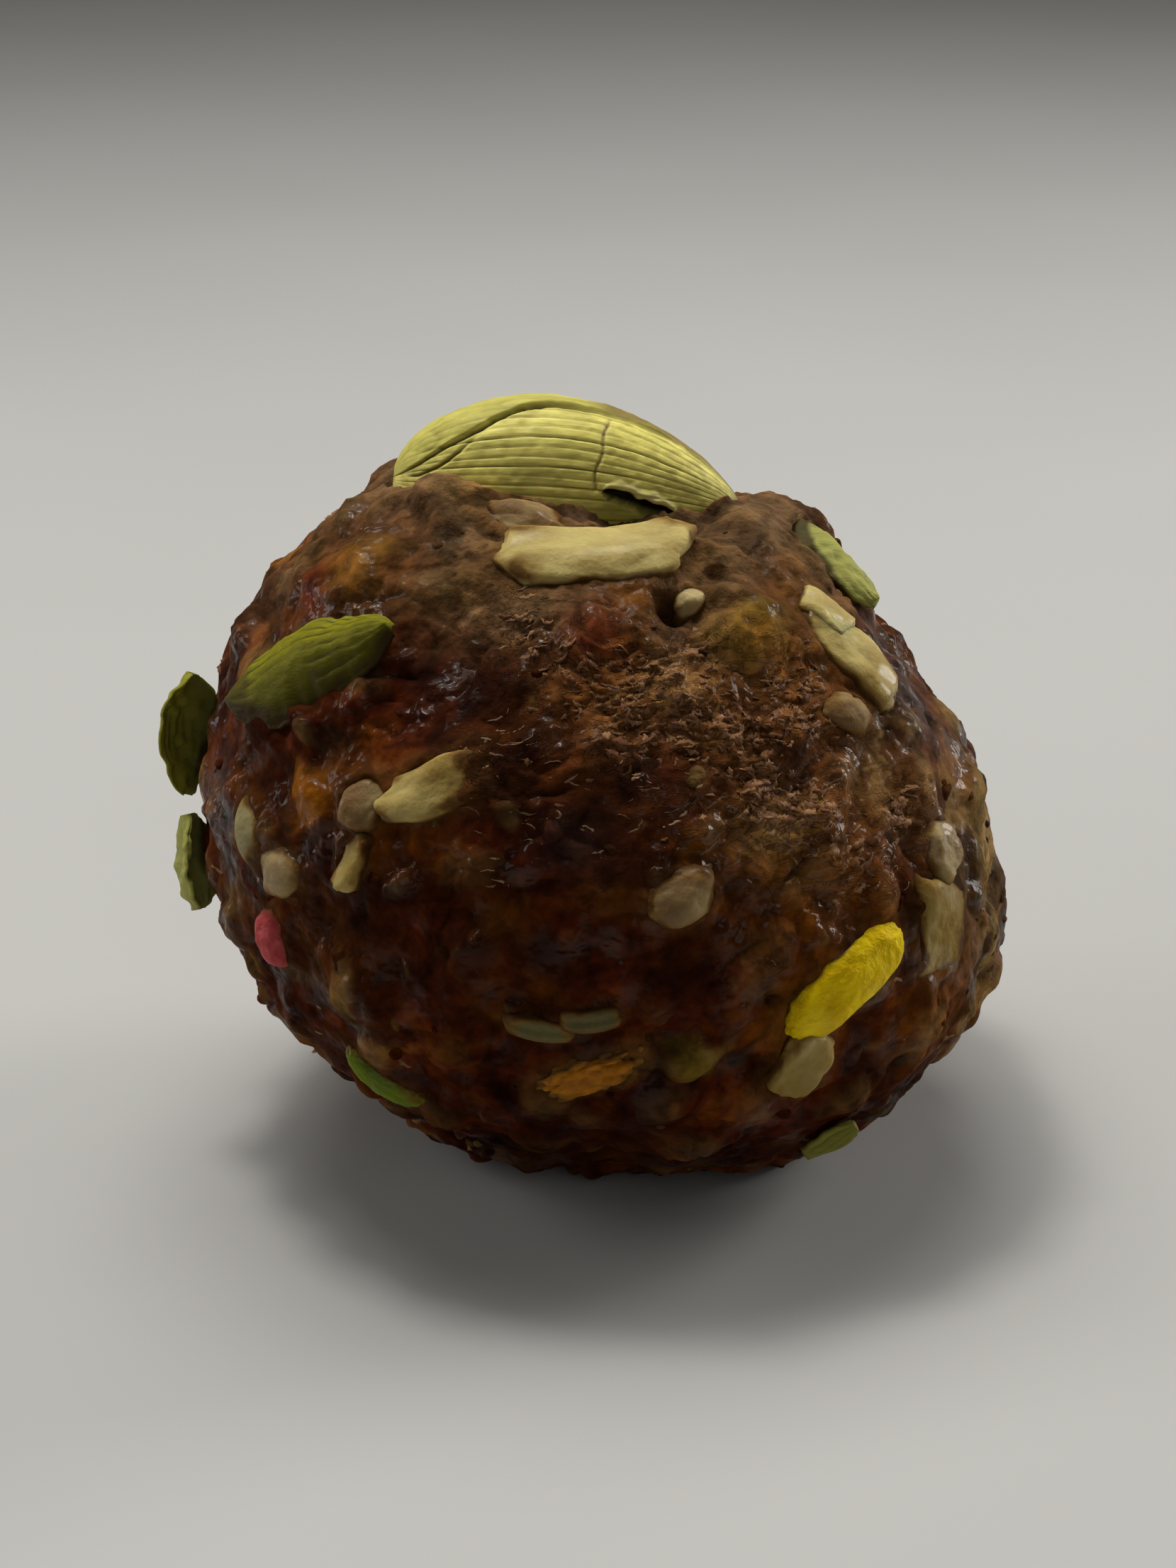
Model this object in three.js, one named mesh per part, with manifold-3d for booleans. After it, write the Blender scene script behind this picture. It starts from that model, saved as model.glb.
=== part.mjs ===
// A date and nut ladoo: a hand-pressed ball of date paste with chopped nuts, fruit and candied fennel showing
// at its surface, a cardamom pod seated in its crown and torn cardamom husks pressed into its flanks.
// Millimetres, +Z up. The origin is on the flat spot it rests on, below the centre, and -Y is its front.
import * as THREE from "three";
import { mergeVertices } from "three/addons/utils/BufferGeometryUtils.js";
import Module from "manifold-3d";

const wasm = await Module();
wasm.setup();

// Driving dimensions of the ball. Its long axis leans down to the right.
const HALF_LENGTH = 20.6;
const HALF_DEPTH = 19.8;
const HALF_HEIGHT = 17.4;
const LEAN_DEG = 22;
const CENTRE_HEIGHT = 16.0;
const BALL_DETAIL = 12;

// Swells and hollows that make the ball uneven: the left shoulder, the right shoulder, the flatter right
// flank, the low front, the ridge beside the front, the brow below the pod and the pit at its right, the two
// hollows that show the pod's front, the brow over its left end, and the hump under the shoulder's husk.
const SWELLS = [
  { lon: -95, lat: 60, height: 1.5, widthDeg: 24 },
  { lon: 80, lat: 60, height: 0.8, widthDeg: 14 },
  { lon: 92, lat: 30, height: -1.6, widthDeg: 20 },
  { lon: 0, lat: -50, height: -0.9, widthDeg: 30 },
  { lon: -37, lat: -6, height: 0.7, widthDeg: 7 },
  { lon: -5, lat: 54, height: 0.6, widthDeg: 5 },
  { lon: 20, lat: 54, height: -1.0, widthDeg: 4 },
  { lon: 18, lat: 79, height: -1.7, widthDeg: 6.5 },
  { lon: 48, lat: 76, height: -0.9, widthDeg: 5 },
  { lon: -72, lat: 66, height: 0.5, widthDeg: 7 },
  { lon: 114, lat: 53, height: 0.9, widthDeg: 9 },
];

// Finger-pressed lumps and hollows all over the ball, and the smaller crags of the paste over them.
const LUMPS = { count: 110, height: 0.45, leastDeg: 8, mostDeg: 15, seed: 41 };
const CRAGS = { count: 520, height: 0.42, leastDeg: 3, mostDeg: 5.5, seed: 97 };

// How far what is pressed into the paste stays clear of it.
const CLEARANCE = 0.3;

// The cardamom pod in the crown.
const POD = {
  length: 17.3,
  halfWidth: 4.0,
  halfThickness: 3.65,
  fattestShare: 0.42,
  ribs: 20,
  ribDepth: 0.28,
  triangularity: 0.07,
  droop: 1.0,
  flapStep: 0.32,
  flapFromDeg: 75,
  flapToDeg: 195,
  stations: 18,
};
const POD_PLACE = { x: -1.7, y: 1.5, z: 17.9, rollDeg: 6.5, yawDeg: 2 };

// The tear near the pod's right end, as a flattened lens cut into its front.
const TEAR = { length: 5.0, depth: 2.2, width: 0.9, x: 3.9, aroundDeg: -8, slopeDeg: -22 };

// Torn husks, each half a pod's wall. Longitude runs from the front to the right, latitude up from the
// centre. dome raises the middle of a husk over its edges, curl lifts its far end off the ball and twistDeg
// rolls it about its length. HUSK_CLEARING is how far above a husk the paste is cleared away.
const HUSK_THICKNESS = 0.5;
const HUSK_CLEARING = 4;
const HUSKS = [
  {
    name: "husk_flank", lon: -55, lat: 35.5, long: 10.2, wide: 4.8,
    turnDeg: 38, twistDeg: 0, dome: 1.1, curl: 0.3, lift: 0.5,
  },
  {
    name: "husk_curl", lon: -88, lat: 14.5, long: 6.0, wide: 3.2,
    turnDeg: -84, twistDeg: 48, dome: 0.9, curl: -0.7, lift: 1.5,
  },
  {
    name: "husk_side", lon: -83, lat: -2.5, long: 4.8, wide: 3.6,
    turnDeg: -70, twistDeg: 24, dome: 0.7, curl: 0.2, lift: 0.45,
  },
  {
    name: "husk_shoulder", lon: 88, lat: 51, long: 6.2, wide: 3.6,
    turnDeg: 48, twistDeg: 0, dome: 0.8, curl: 0.3, lift: 0.2,
  },
  {
    name: "husk_low", lon: 40, lat: -33, long: 3.3, wide: 2.0,
    turnDeg: 68, twistDeg: 0, dome: 0.5, curl: 0.3, lift: 0.4,
  },
];

// Pieces that show at the front: what each is, where it sits, its size and how its length is turned.
const FRONT_PIECES = [
  { kind: "almond", lon: -2, lat: 66, long: 10.2, wide: 4.4, turnDeg: 0 },
  { kind: "cashew", lon: -38, lat: 70.5, long: 5.2, wide: 2.6, turnDeg: -14 },
  { kind: "cashew", lon: 24, lat: 57, long: 1.8, wide: 1.5, turnDeg: 60 },
  { kind: "fruit", lon: -62, lat: 50, long: 5.2, wide: 4.2, turnDeg: 60 },
  { kind: "fruit", lon: -45, lat: 20.5, long: 4.0, wide: 2.6, turnDeg: -45 },
  { kind: "almond", lon: -26, lat: 25.5, long: 5.0, wide: 2.6, turnDeg: 22 },
  { kind: "cashew", lon: -35.5, lat: 22, long: 2.8, wide: 2.4, turnDeg: 70 },
  { kind: "almond", lon: -36, lat: 14, long: 2.8, wide: 1.7, turnDeg: 85 },
  { kind: "melon_seed", lon: -56, lat: 12, long: 3.4, wide: 2.1, turnDeg: 122 },
  { kind: "cashew", lon: -49.5, lat: 9, long: 3.4, wide: 2.3, turnDeg: 10 },
  { kind: "fennel_pink", lon: -51.5, lat: -2, long: 3.2, wide: 1.9, turnDeg: 100 },
  { kind: "cashew", lon: 10, lat: 13, long: 3.4, wide: 2.6, turnDeg: 0 },
  { kind: "fennel_yellow", lon: 34.5, lat: -3, long: 7.3, wide: 3.3, turnDeg: 31 },
  { kind: "almond", lon: 28.5, lat: -14.5, long: 3.6, wide: 2.7, turnDeg: 60 },
  { kind: "almond", lon: 53, lat: -1, long: 4.8, wide: 4.4, turnDeg: 70 },
  { kind: "cashew", lon: 56, lat: 10, long: 3.2, wide: 2.8, turnDeg: 95 },
  { kind: "almond", lon: 55, lat: 41, long: 6.2, wide: 3.2, turnDeg: 112 },
  { kind: "almond", lon: 57, lat: 48, long: 3.2, wide: 2.0, turnDeg: 100 },
  { kind: "fruit", lon: 34, lat: 49, long: 5.0, wide: 3.8, turnDeg: 15 },
  { kind: "cashew", lon: 46, lat: 33, long: 3.0, wide: 2.3, turnDeg: -20 },
  { kind: "fennel_green", lon: -35, lat: -20, long: 4.4, wide: 1.3, turnDeg: -38 },
  { kind: "fennel_seed", lon: -9, lat: -6, long: 3.3, wide: 1.3, turnDeg: -6 },
  { kind: "fennel_seed", lon: -2, lat: -4, long: 2.8, wide: 1.2, turnDeg: 8 },
  { kind: "flake", lon: -2, lat: -14, long: 5.8, wide: 2.4, turnDeg: 28 },
  { kind: "fruit", lon: 12, lat: -11, long: 3.4, wide: 2.4, turnDeg: 20 },
];

// Pieces round the sides and back follow a spiral, in this order of kinds, away from the front and the foot.
const SPREAD_COUNT = 64;
const SPREAD_SEED = 7;
const SHAPE_SEED = 23;
const SPREAD_JITTER = 0.14;
const FRONT_LAT_DEG = 22;
const FRONT_REACH_DEG = 92;
const FOOT_LAT_DEG = -50;
const CROWN_LAT_DEG = 66;
const SPREAD_KINDS = [
  "almond",
  "cashew",
  "fruit",
  "melon_seed",
  "cashew",
  "fennel_pink",
  "almond",
  "flake",
  "cashew",
  "fennel_yellow",
  "almond",
  "melon_seed",
  "fruit",
  "fennel_green",
];

// Each kind's usual size, how far it stands out of the paste and how rough its faces are.
const KINDS = {
  almond: { long: 4.4, wide: 2.7, proud: 0.8, rough: 0.16 },
  cashew: { long: 2.9, wide: 2.3, proud: 0.8, rough: 0.14 },
  fruit: { long: 4.0, wide: 3.2, proud: 0.6, rough: 0.12 },
  melon_seed: { long: 3.4, wide: 1.7, proud: 0.6, rough: 0.04 },
  fennel_seed: { long: 3.0, wide: 1.3, proud: 0.6, rough: 0.05 },
  fennel_pink: { long: 4.2, wide: 2.0, proud: 0.75, rough: 0.05 },
  fennel_yellow: { long: 5.4, wide: 2.3, proud: 0.85, rough: 0.05 },
  fennel_green: { long: 4.8, wide: 1.5, proud: 0.6, rough: 0.05 },
  flake: { long: 4.6, wide: 2.2, proud: 0.6, rough: 0.22 },
};

// Pieces longer than this get fine facets. SUNK is how far below the surface the middle of every piece lies.
const FINE_FROM = 3.4;
const SUNK = 0.45;

const GOLDEN_ANGLE = Math.PI * (3 - Math.sqrt(5));
const rad = THREE.MathUtils.degToRad;

// Repeatable draws between 0 and 1.
function drawsFrom(seed) {
  let state = seed >>> 0;
  return () => {
    state = (Math.imul(state, 1664525) + 1013904223) >>> 0;
    return state / 4294967296;
  };
}

function spiralDirection(index, count) {
  const z = 1 - (2 * index + 1) / count;
  const ring = Math.sqrt(1 - z * z);
  const turn = index * GOLDEN_ANGLE;
  return new THREE.Vector3(ring * Math.cos(turn), ring * Math.sin(turn), z);
}

function directionAt(lonDeg, latDeg) {
  const lon = rad(lonDeg);
  const lat = rad(latDeg);
  const ring = Math.cos(lat);
  return new THREE.Vector3(Math.sin(lon) * ring, -Math.cos(lon) * ring, Math.sin(lat));
}

// A closed geometry as a solid, moved by a matrix.
function solidOf(geometry, matrix = new THREE.Matrix4()) {
  const bare = geometry.clone();
  bare.deleteAttribute("normal");
  bare.deleteAttribute("uv");
  const merged = mergeVertices(bare.applyMatrix4(matrix), 1e-4);
  return new wasm.Manifold(
    new wasm.Mesh({
      numProp: 3,
      vertProperties: new Float32Array(merged.attributes.position.array),
      triVerts: new Uint32Array(merged.index.array),
    }),
  );
}

function geometryOf(solid) {
  const mesh = solid.getMesh();
  const geometry = new THREE.BufferGeometry();
  geometry.setAttribute("position", new THREE.BufferAttribute(mesh.vertProperties, mesh.numProp));
  geometry.setIndex(new THREE.BufferAttribute(mesh.triVerts, 1));
  geometry.computeVertexNormals();
  return geometry;
}

// The largest body of a solid, without the scraps that a cut leaves loose.
function largestBody(solid) {
  return solid.decompose().reduce((best, body) => (body.volume() > best.volume() ? body : best));
}

// The ball's form

const bump = (direction, height, widthDeg) => ({ direction, height, spread: 1 - Math.cos(rad(widthDeg)) });

function spreadBumps({ count, height, leastDeg, mostDeg, seed }) {
  const draw = drawsFrom(seed);
  const bumps = [];
  for (let i = 0; i < count; i++) {
    const rise = height * (2 * draw() - 1);
    const widthDeg = leastDeg + (mostDeg - leastDeg) * draw();
    bumps.push(bump(spiralDirection(i, count), rise, widthDeg));
  }
  return bumps;
}

const swells = SWELLS.map(({ lon, lat, height, widthDeg }) => bump(directionAt(lon, lat), height, widthDeg));
const relief = [...swells, ...spreadBumps(LUMPS), ...spreadBumps(CRAGS)];
const longAxis = new THREE.Vector3(Math.cos(rad(LEAN_DEG)), 0, -Math.sin(rad(LEAN_DEG)));
const shortAxis = new THREE.Vector3(Math.sin(rad(LEAN_DEG)), 0, Math.cos(rad(LEAN_DEG)));

// Distance from the ball's centre to its surface in a direction.
function ballRadius(direction) {
  const smooth = 1 / Math.hypot(
    direction.dot(longAxis) / HALF_LENGTH,
    direction.y / HALF_DEPTH,
    direction.dot(shortAxis) / HALF_HEIGHT,
  );
  const rise = (sum, { direction: middle, height, spread }) =>
    sum + height * Math.exp((direction.dot(middle) - 1) / spread);
  return relief.reduce(rise, smooth);
}

// Outward normal of the smooth ball in a direction.
function ballNormal(direction) {
  const along = direction.dot(longAxis) / HALF_LENGTH ** 2;
  const up = direction.dot(shortAxis) / HALF_HEIGHT ** 2;
  return new THREE.Vector3(0, direction.y / HALF_DEPTH ** 2, 0)
    .addScaledVector(longAxis, along)
    .addScaledVector(shortAxis, up)
    .normalize();
}

// A frame on the ball: Z out of the surface, X turned from the level direction to the right.
function frameOn(direction, turnDeg, lift) {
  const normal = ballNormal(direction);
  const level = new THREE.Vector3(0, 0, 1).cross(normal).normalize();
  const along = level.applyAxisAngle(normal, rad(turnDeg));
  const across = normal.clone().cross(along);
  const place = direction.clone().multiplyScalar(ballRadius(direction)).addScaledVector(normal, lift);
  return new THREE.Matrix4().makeBasis(along, across, normal).setPosition(place);
}

function bareBall() {
  const geometry = new THREE.IcosahedronGeometry(1, BALL_DETAIL);
  const position = geometry.attributes.position;
  const direction = new THREE.Vector3();
  for (let i = 0; i < position.count; i++) {
    direction.fromBufferAttribute(position, i).normalize();
    direction.multiplyScalar(ballRadius(direction));
    position.setXYZ(i, direction.x, direction.y, direction.z);
  }
  return solidOf(geometry);
}

// Pieces pressed into the paste

// A chopped piece: a faceted pebble, coarser when small, with each corner drawn in or out by a share of it.
function pieceGeometry(long, wide, thick, rough, draw) {
  const pebble = new THREE.IcosahedronGeometry(1, long > FINE_FROM ? 1 : 0);
  const geometry = mergeVertices(barePositions(pebble), 1e-4);
  const position = geometry.attributes.position;
  for (let i = 0; i < position.count; i++) {
    const stretch = 1 + rough * (2 * draw() - 1);
    position.setXYZ(
      i,
      position.getX(i) * stretch * (long / 2),
      position.getY(i) * stretch * (wide / 2),
      position.getZ(i) * stretch * (thick / 2),
    );
  }
  return geometry;
}

function barePositions(geometry) {
  geometry.deleteAttribute("normal");
  geometry.deleteAttribute("uv");
  return geometry;
}

function pieceSolid({ direction, kind, long, wide, turnDeg }, draw) {
  const { proud, rough } = KINDS[kind];
  const thick = 2 * (proud + SUNK);
  return solidOf(pieceGeometry(long, wide, thick, rough, draw), frameOn(direction, turnDeg, -SUNK));
}

function frontPieces() {
  return FRONT_PIECES.map((piece) => ({ ...piece, direction: directionAt(piece.lon, piece.lat) }));
}

function spreadPieces() {
  const draw = drawsFrom(SPREAD_SEED);
  const front = directionAt(0, FRONT_LAT_DEG);
  const pieces = [];
  for (let i = 0; i < SPREAD_COUNT; i++) {
    const aside = new THREE.Vector3(draw() - 0.5, draw() - 0.5, draw() - 0.5);
    const direction = spiralDirection(i, SPREAD_COUNT).addScaledVector(aside, SPREAD_JITTER).normalize();
    const kind = SPREAD_KINDS[i % SPREAD_KINDS.length];
    const size = 0.75 + 0.5 * draw();
    const turnDeg = 180 * draw();
    const latDeg = THREE.MathUtils.radToDeg(Math.asin(direction.z));
    const inFront = direction.angleTo(front) < rad(FRONT_REACH_DEG);
    if (inFront || latDeg < FOOT_LAT_DEG || latDeg > CROWN_LAT_DEG) continue;
    const usual = KINDS[kind];
    pieces.push({ direction, kind, long: usual.long * size, wide: usual.wide * size, turnDeg });
  }
  return pieces;
}

// The cardamom pod

// A pod along X with its ends drooping, ribbed lengthwise, rounded three-sided in section, with a raised flap
// where one wall overlaps the next. Angles run round from the front over the top.
function podGeometry(grow) {
  const around = 2 * POD.ribs;
  const fattening = Math.log(0.5) / Math.log(POD.fattestShare);
  const points = [];
  const halfLength = POD.length / 2 + grow;
  const stationPoint = (share, index) => {
    const angle = (index / around) * 2 * Math.PI;
    const angleDeg = THREE.MathUtils.radToDeg(angle);
    const swell = Math.sin(Math.PI * share ** fattening) ** 0.56;
    const rib = (index % 2 ? -1 : 0) * POD.ribDepth * swell;
    const flap = angleDeg > POD.flapFromDeg && angleDeg < POD.flapToDeg ? POD.flapStep * swell : 0;
    const section = 1 + POD.triangularity * Math.cos(3 * (angle - rad(POD.flapFromDeg)));
    const wide = swell * section * POD.halfWidth + rib + flap + grow;
    const thick = swell * section * POD.halfThickness + rib + flap + grow;
    const offMiddle = 2 * share - 1;
    return [
      offMiddle * halfLength,
      -Math.cos(angle) * wide,
      Math.sin(angle) * thick - POD.droop * offMiddle ** 2,
    ];
  };
  points.push([-halfLength, 0, -POD.droop]);
  for (let s = 1; s < POD.stations; s++) {
    for (let i = 0; i < around; i++) points.push(stationPoint(s / POD.stations, i));
  }
  points.push([halfLength, 0, -POD.droop]);
  const faces = [];
  const last = points.length - 1;
  const at = (station, index) => 1 + (station - 1) * around + (index % around);
  for (let i = 0; i < around; i++) {
    faces.push(0, at(1, i), at(1, i + 1));
    faces.push(last, at(POD.stations - 1, i + 1), at(POD.stations - 1, i));
    for (let s = 1; s < POD.stations - 1; s++) {
      faces.push(at(s, i), at(s + 1, i), at(s, i + 1));
      faces.push(at(s + 1, i), at(s + 1, i + 1), at(s, i + 1));
    }
  }
  return meshOf(points, faces);
}

function meshOf(points, faces) {
  const geometry = new THREE.BufferGeometry();
  geometry.setAttribute("position", new THREE.Float32BufferAttribute(points.flat(), 3));
  geometry.setIndex(faces);
  return geometry;
}

function podFrame() {
  const turn = new THREE.Euler(0, rad(POD_PLACE.rollDeg), rad(POD_PLACE.yawDeg));
  return new THREE.Matrix4()
    .makeRotationFromEuler(turn)
    .setPosition(POD_PLACE.x, POD_PLACE.y, POD_PLACE.z);
}

function tornPod() {
  const lens = new THREE.IcosahedronGeometry(1, 2).scale(TEAR.length / 2, TEAR.depth / 2, TEAR.width / 2);
  const around = rad(TEAR.aroundDeg);
  const place = new THREE.Matrix4()
    .makeRotationFromEuler(new THREE.Euler(-around, -rad(TEAR.slopeDeg), 0))
    .setPosition(TEAR.x, -Math.cos(around) * POD.halfWidth, Math.sin(around) * POD.halfThickness);
  return largestBody(solidOf(podGeometry(0)).subtract(solidOf(lens, place)));
}

// Husks

// Half a pod's wall as a thin closed sheet: X along it, Z out of the ball. inner and outer are how far its
// two faces stand from the middle of the wall, and grow widens its outline.
function huskGeometry(husk, inner, outer, grow) {
  const stations = 10;
  const strips = 4;
  const facePoint = (share, side, offset) => {
    const x = (share - 0.5) * (husk.long + 2 * grow);
    const offMiddle = (2 * x) / husk.long;
    const halfWidth = (husk.wide / 2) * Math.max(1 - offMiddle ** 2, 0.03) ** 0.55;
    const y = side * (halfWidth + grow);
    const crown = husk.dome * (1 - (y / halfWidth) ** 2) * (1 - 0.6 * offMiddle ** 2);
    const ripple = 0.12 * Math.sin(2.5 * offMiddle + (4 * y) / husk.wide);
    const rise = crown + ripple + husk.curl * (offMiddle / 2 + 0.5) ** 2 - husk.dome * 0.4;
    return [x, y, rise + offset];
  };
  const points = [];
  for (const offset of [outer, -inner]) {
    for (let s = 0; s <= stations; s++) {
      for (let k = 0; k <= strips; k++) points.push(facePoint(s / stations, (2 * k) / strips - 1, offset));
    }
  }
  const faces = [];
  const face = (stations + 1) * (strips + 1);
  const at = (s, k) => s * (strips + 1) + k;
  const wall = (a, b) => faces.push(a, a + face, b, b, a + face, b + face);
  for (let s = 0; s < stations; s++) {
    for (let k = 0; k < strips; k++) {
      const corners = [at(s, k), at(s + 1, k), at(s, k + 1), at(s + 1, k + 1)];
      faces.push(corners[0], corners[1], corners[2], corners[2], corners[1], corners[3]);
      faces.push(corners[0] + face, corners[2] + face, corners[1] + face);
      faces.push(corners[2] + face, corners[3] + face, corners[1] + face);
    }
    wall(at(s, 0), at(s + 1, 0));
    wall(at(s + 1, strips), at(s, strips));
  }
  for (let k = 0; k < strips; k++) {
    wall(at(0, k + 1), at(0, k));
    wall(at(stations, k), at(stations, k + 1));
  }
  return meshOf(points, faces);
}

function huskFrame(husk) {
  const frame = frameOn(directionAt(husk.lon, husk.lat), husk.turnDeg, husk.lift);
  return frame.multiply(new THREE.Matrix4().makeRotationX(rad(husk.twistDeg)));
}

// The ladoo's own solid

function ladooSolid() {
  const draw = drawsFrom(SHAPE_SEED);
  let solid = bareBall();
  for (const piece of [...frontPieces(), ...spreadPieces()]) solid = solid.add(pieceSolid(piece, draw));
  solid = solid.subtract(solidOf(podGeometry(CLEARANCE), podFrame()));
  for (const husk of HUSKS) {
    const clearing = huskGeometry(husk, HUSK_THICKNESS / 2 + CLEARANCE, HUSK_CLEARING, CLEARANCE);
    solid = solid.subtract(solidOf(clearing, huskFrame(husk)));
  }
  const side = 4 * HALF_LENGTH;
  const below = new THREE.BoxGeometry(side, side, side).translate(0, 0, -CENTRE_HEIGHT - side / 2);
  return largestBody(solid.subtract(solidOf(below)));
}

const paste = new THREE.MeshStandardMaterial({ color: 0x4a2d1c, roughness: 0.55, metalness: 0 });
const podGreen = new THREE.MeshStandardMaterial({ color: 0xa9a64e, roughness: 0.75, metalness: 0 });
const huskGreen = new THREE.MeshStandardMaterial({ color: 0x76812f, roughness: 0.7, metalness: 0 });

function named(name, geometry, material, matrix = new THREE.Matrix4()) {
  const mesh = new THREE.Mesh(geometry, material);
  mesh.name = name;
  mesh.applyMatrix4(matrix);
  return mesh;
}

const part = new THREE.Group();
part.position.z = CENTRE_HEIGHT;
part.add(named("ladoo", geometryOf(ladooSolid()), paste));
part.add(named("cardamom_pod", geometryOf(tornPod()), podGreen, podFrame()));
for (const husk of HUSKS) {
  const wall = huskGeometry(husk, HUSK_THICKNESS / 2, HUSK_THICKNESS / 2, 0);
  part.add(named(husk.name, wall, huskGreen, huskFrame(husk)));
}

export default part;
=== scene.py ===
"""The look of a date and nut ladoo: date paste, nuts, fruit, candied fennel, a cardamom pod and husks.

Shapes are worked out in millimetres about the ball's centre, with -Y to the front. They become metres in
the row frame when a mesh is made.
"""
import functools
import itertools
import math

import bpy
import numpy as np
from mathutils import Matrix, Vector


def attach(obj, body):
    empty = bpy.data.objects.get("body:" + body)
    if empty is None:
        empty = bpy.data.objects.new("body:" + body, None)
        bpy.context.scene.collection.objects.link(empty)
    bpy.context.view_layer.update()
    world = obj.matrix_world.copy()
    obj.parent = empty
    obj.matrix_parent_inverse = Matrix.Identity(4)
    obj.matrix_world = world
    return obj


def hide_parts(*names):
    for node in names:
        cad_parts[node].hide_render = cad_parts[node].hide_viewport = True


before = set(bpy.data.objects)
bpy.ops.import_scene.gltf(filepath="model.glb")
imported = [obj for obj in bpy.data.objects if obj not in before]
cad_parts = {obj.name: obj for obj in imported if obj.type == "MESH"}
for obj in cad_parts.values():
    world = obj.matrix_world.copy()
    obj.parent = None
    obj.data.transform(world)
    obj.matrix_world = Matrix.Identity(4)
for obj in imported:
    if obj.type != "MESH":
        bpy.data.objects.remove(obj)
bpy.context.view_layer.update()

MM = 0.001

# The ball, as its solid has it
HALF_LENGTH = 20.6
HALF_DEPTH = 19.8
HALF_HEIGHT = 17.4
LEAN_DEG = 22
CENTRE_HEIGHT = 16.0
SWELLS = [
    dict(lon=-95, lat=60, height=1.5, width_deg=24),
    dict(lon=80, lat=60, height=0.8, width_deg=14),
    dict(lon=92, lat=30, height=-1.6, width_deg=20),
    dict(lon=0, lat=-50, height=-0.9, width_deg=30),
    dict(lon=-37, lat=-6, height=0.7, width_deg=7),
    dict(lon=-5, lat=54, height=0.6, width_deg=5),
    dict(lon=20, lat=54, height=-1.0, width_deg=4),
    dict(lon=18, lat=79, height=-1.7, width_deg=6.5),
    dict(lon=48, lat=76, height=-0.9, width_deg=5),
    dict(lon=-72, lat=66, height=0.5, width_deg=7),
    dict(lon=114, lat=53, height=0.9, width_deg=9),
]
LUMPS = dict(count=110, height=0.45, least_deg=8, most_deg=15, seed=41)
CRAGS = dict(count=520, height=0.42, least_deg=3, most_deg=5.5, seed=97)

# The paste's mesh is finer towards the front
PASTE_FREQUENCY = 98
FRONT_FINENESS = 1.7

# Sizes of the paste's wrinkles, and of the cells that hold its pits and its chunks
WRINKLE_SIZE = np.array([1.7, 1.7, 0.6])
PIT_SPACING = 4.6
CHUNK_SPACING = 2.3

# The pod in the crown, as its solid has it
POD_LENGTH = 17.3
POD_HALF_WIDTH = 4.0
POD_HALF_THICKNESS = 3.65
POD_FATTEST = 0.42
POD_BLUNTNESS = 0.56
POD_TRIANGULARITY = 0.07
POD_DROOP = 1.0
POD_FLAP_STEP = 0.32
POD_FLAP_FROM_DEG = 75
POD_FLAP_TO_DEG = 195
POD_PLACE = np.array([-1.7, 1.5, 17.9])
POD_ROLL_DEG = 6.5
POD_YAW_DEG = 2

# Husks, as their solids have them as far as lift. The rest is for the look: how crumpled each is, how
# much of its width the paste covers at its lower side, how much narrower it gets towards its end, and
# how pale it is.
HUSK_THICKNESS = 0.5
HUSK_BLUNTNESS = 0.55
HUSK_LEAST_END = 0.03
HUSKS = [
    dict(name="husk_flank", lon=-55, lat=35.5, long=10.2, wide=4.8, turn=38, twist=0,
         dome=1.1, curl=0.3, lift=0.5, crumple=0.2, tuck=0.42, taper=0.22, paleness=0.0),
    dict(name="husk_curl", lon=-88, lat=14.5, long=6.0, wide=3.2, turn=-84, twist=48,
         dome=0.9, curl=-0.7, lift=1.5, crumple=0.5, tuck=0, taper=0, paleness=0.2),
    dict(name="husk_side", lon=-83, lat=-2.5, long=4.8, wide=3.6, turn=-70, twist=24,
         dome=0.7, curl=0.2, lift=0.45, crumple=0.5, tuck=0, taper=0, paleness=0.9),
    dict(name="husk_shoulder", lon=88, lat=51, long=6.2, wide=3.6, turn=48, twist=0,
         dome=0.8, curl=0.3, lift=0.2, crumple=0.3, tuck=0, taper=0, paleness=1.0),
    dict(name="husk_low", lon=40, lat=-33, long=3.3, wide=2.0, turn=68, twist=0,
         dome=0.5, curl=0.3, lift=0.4, crumple=0.16, tuck=0, taper=0, paleness=0.4),
]

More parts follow.
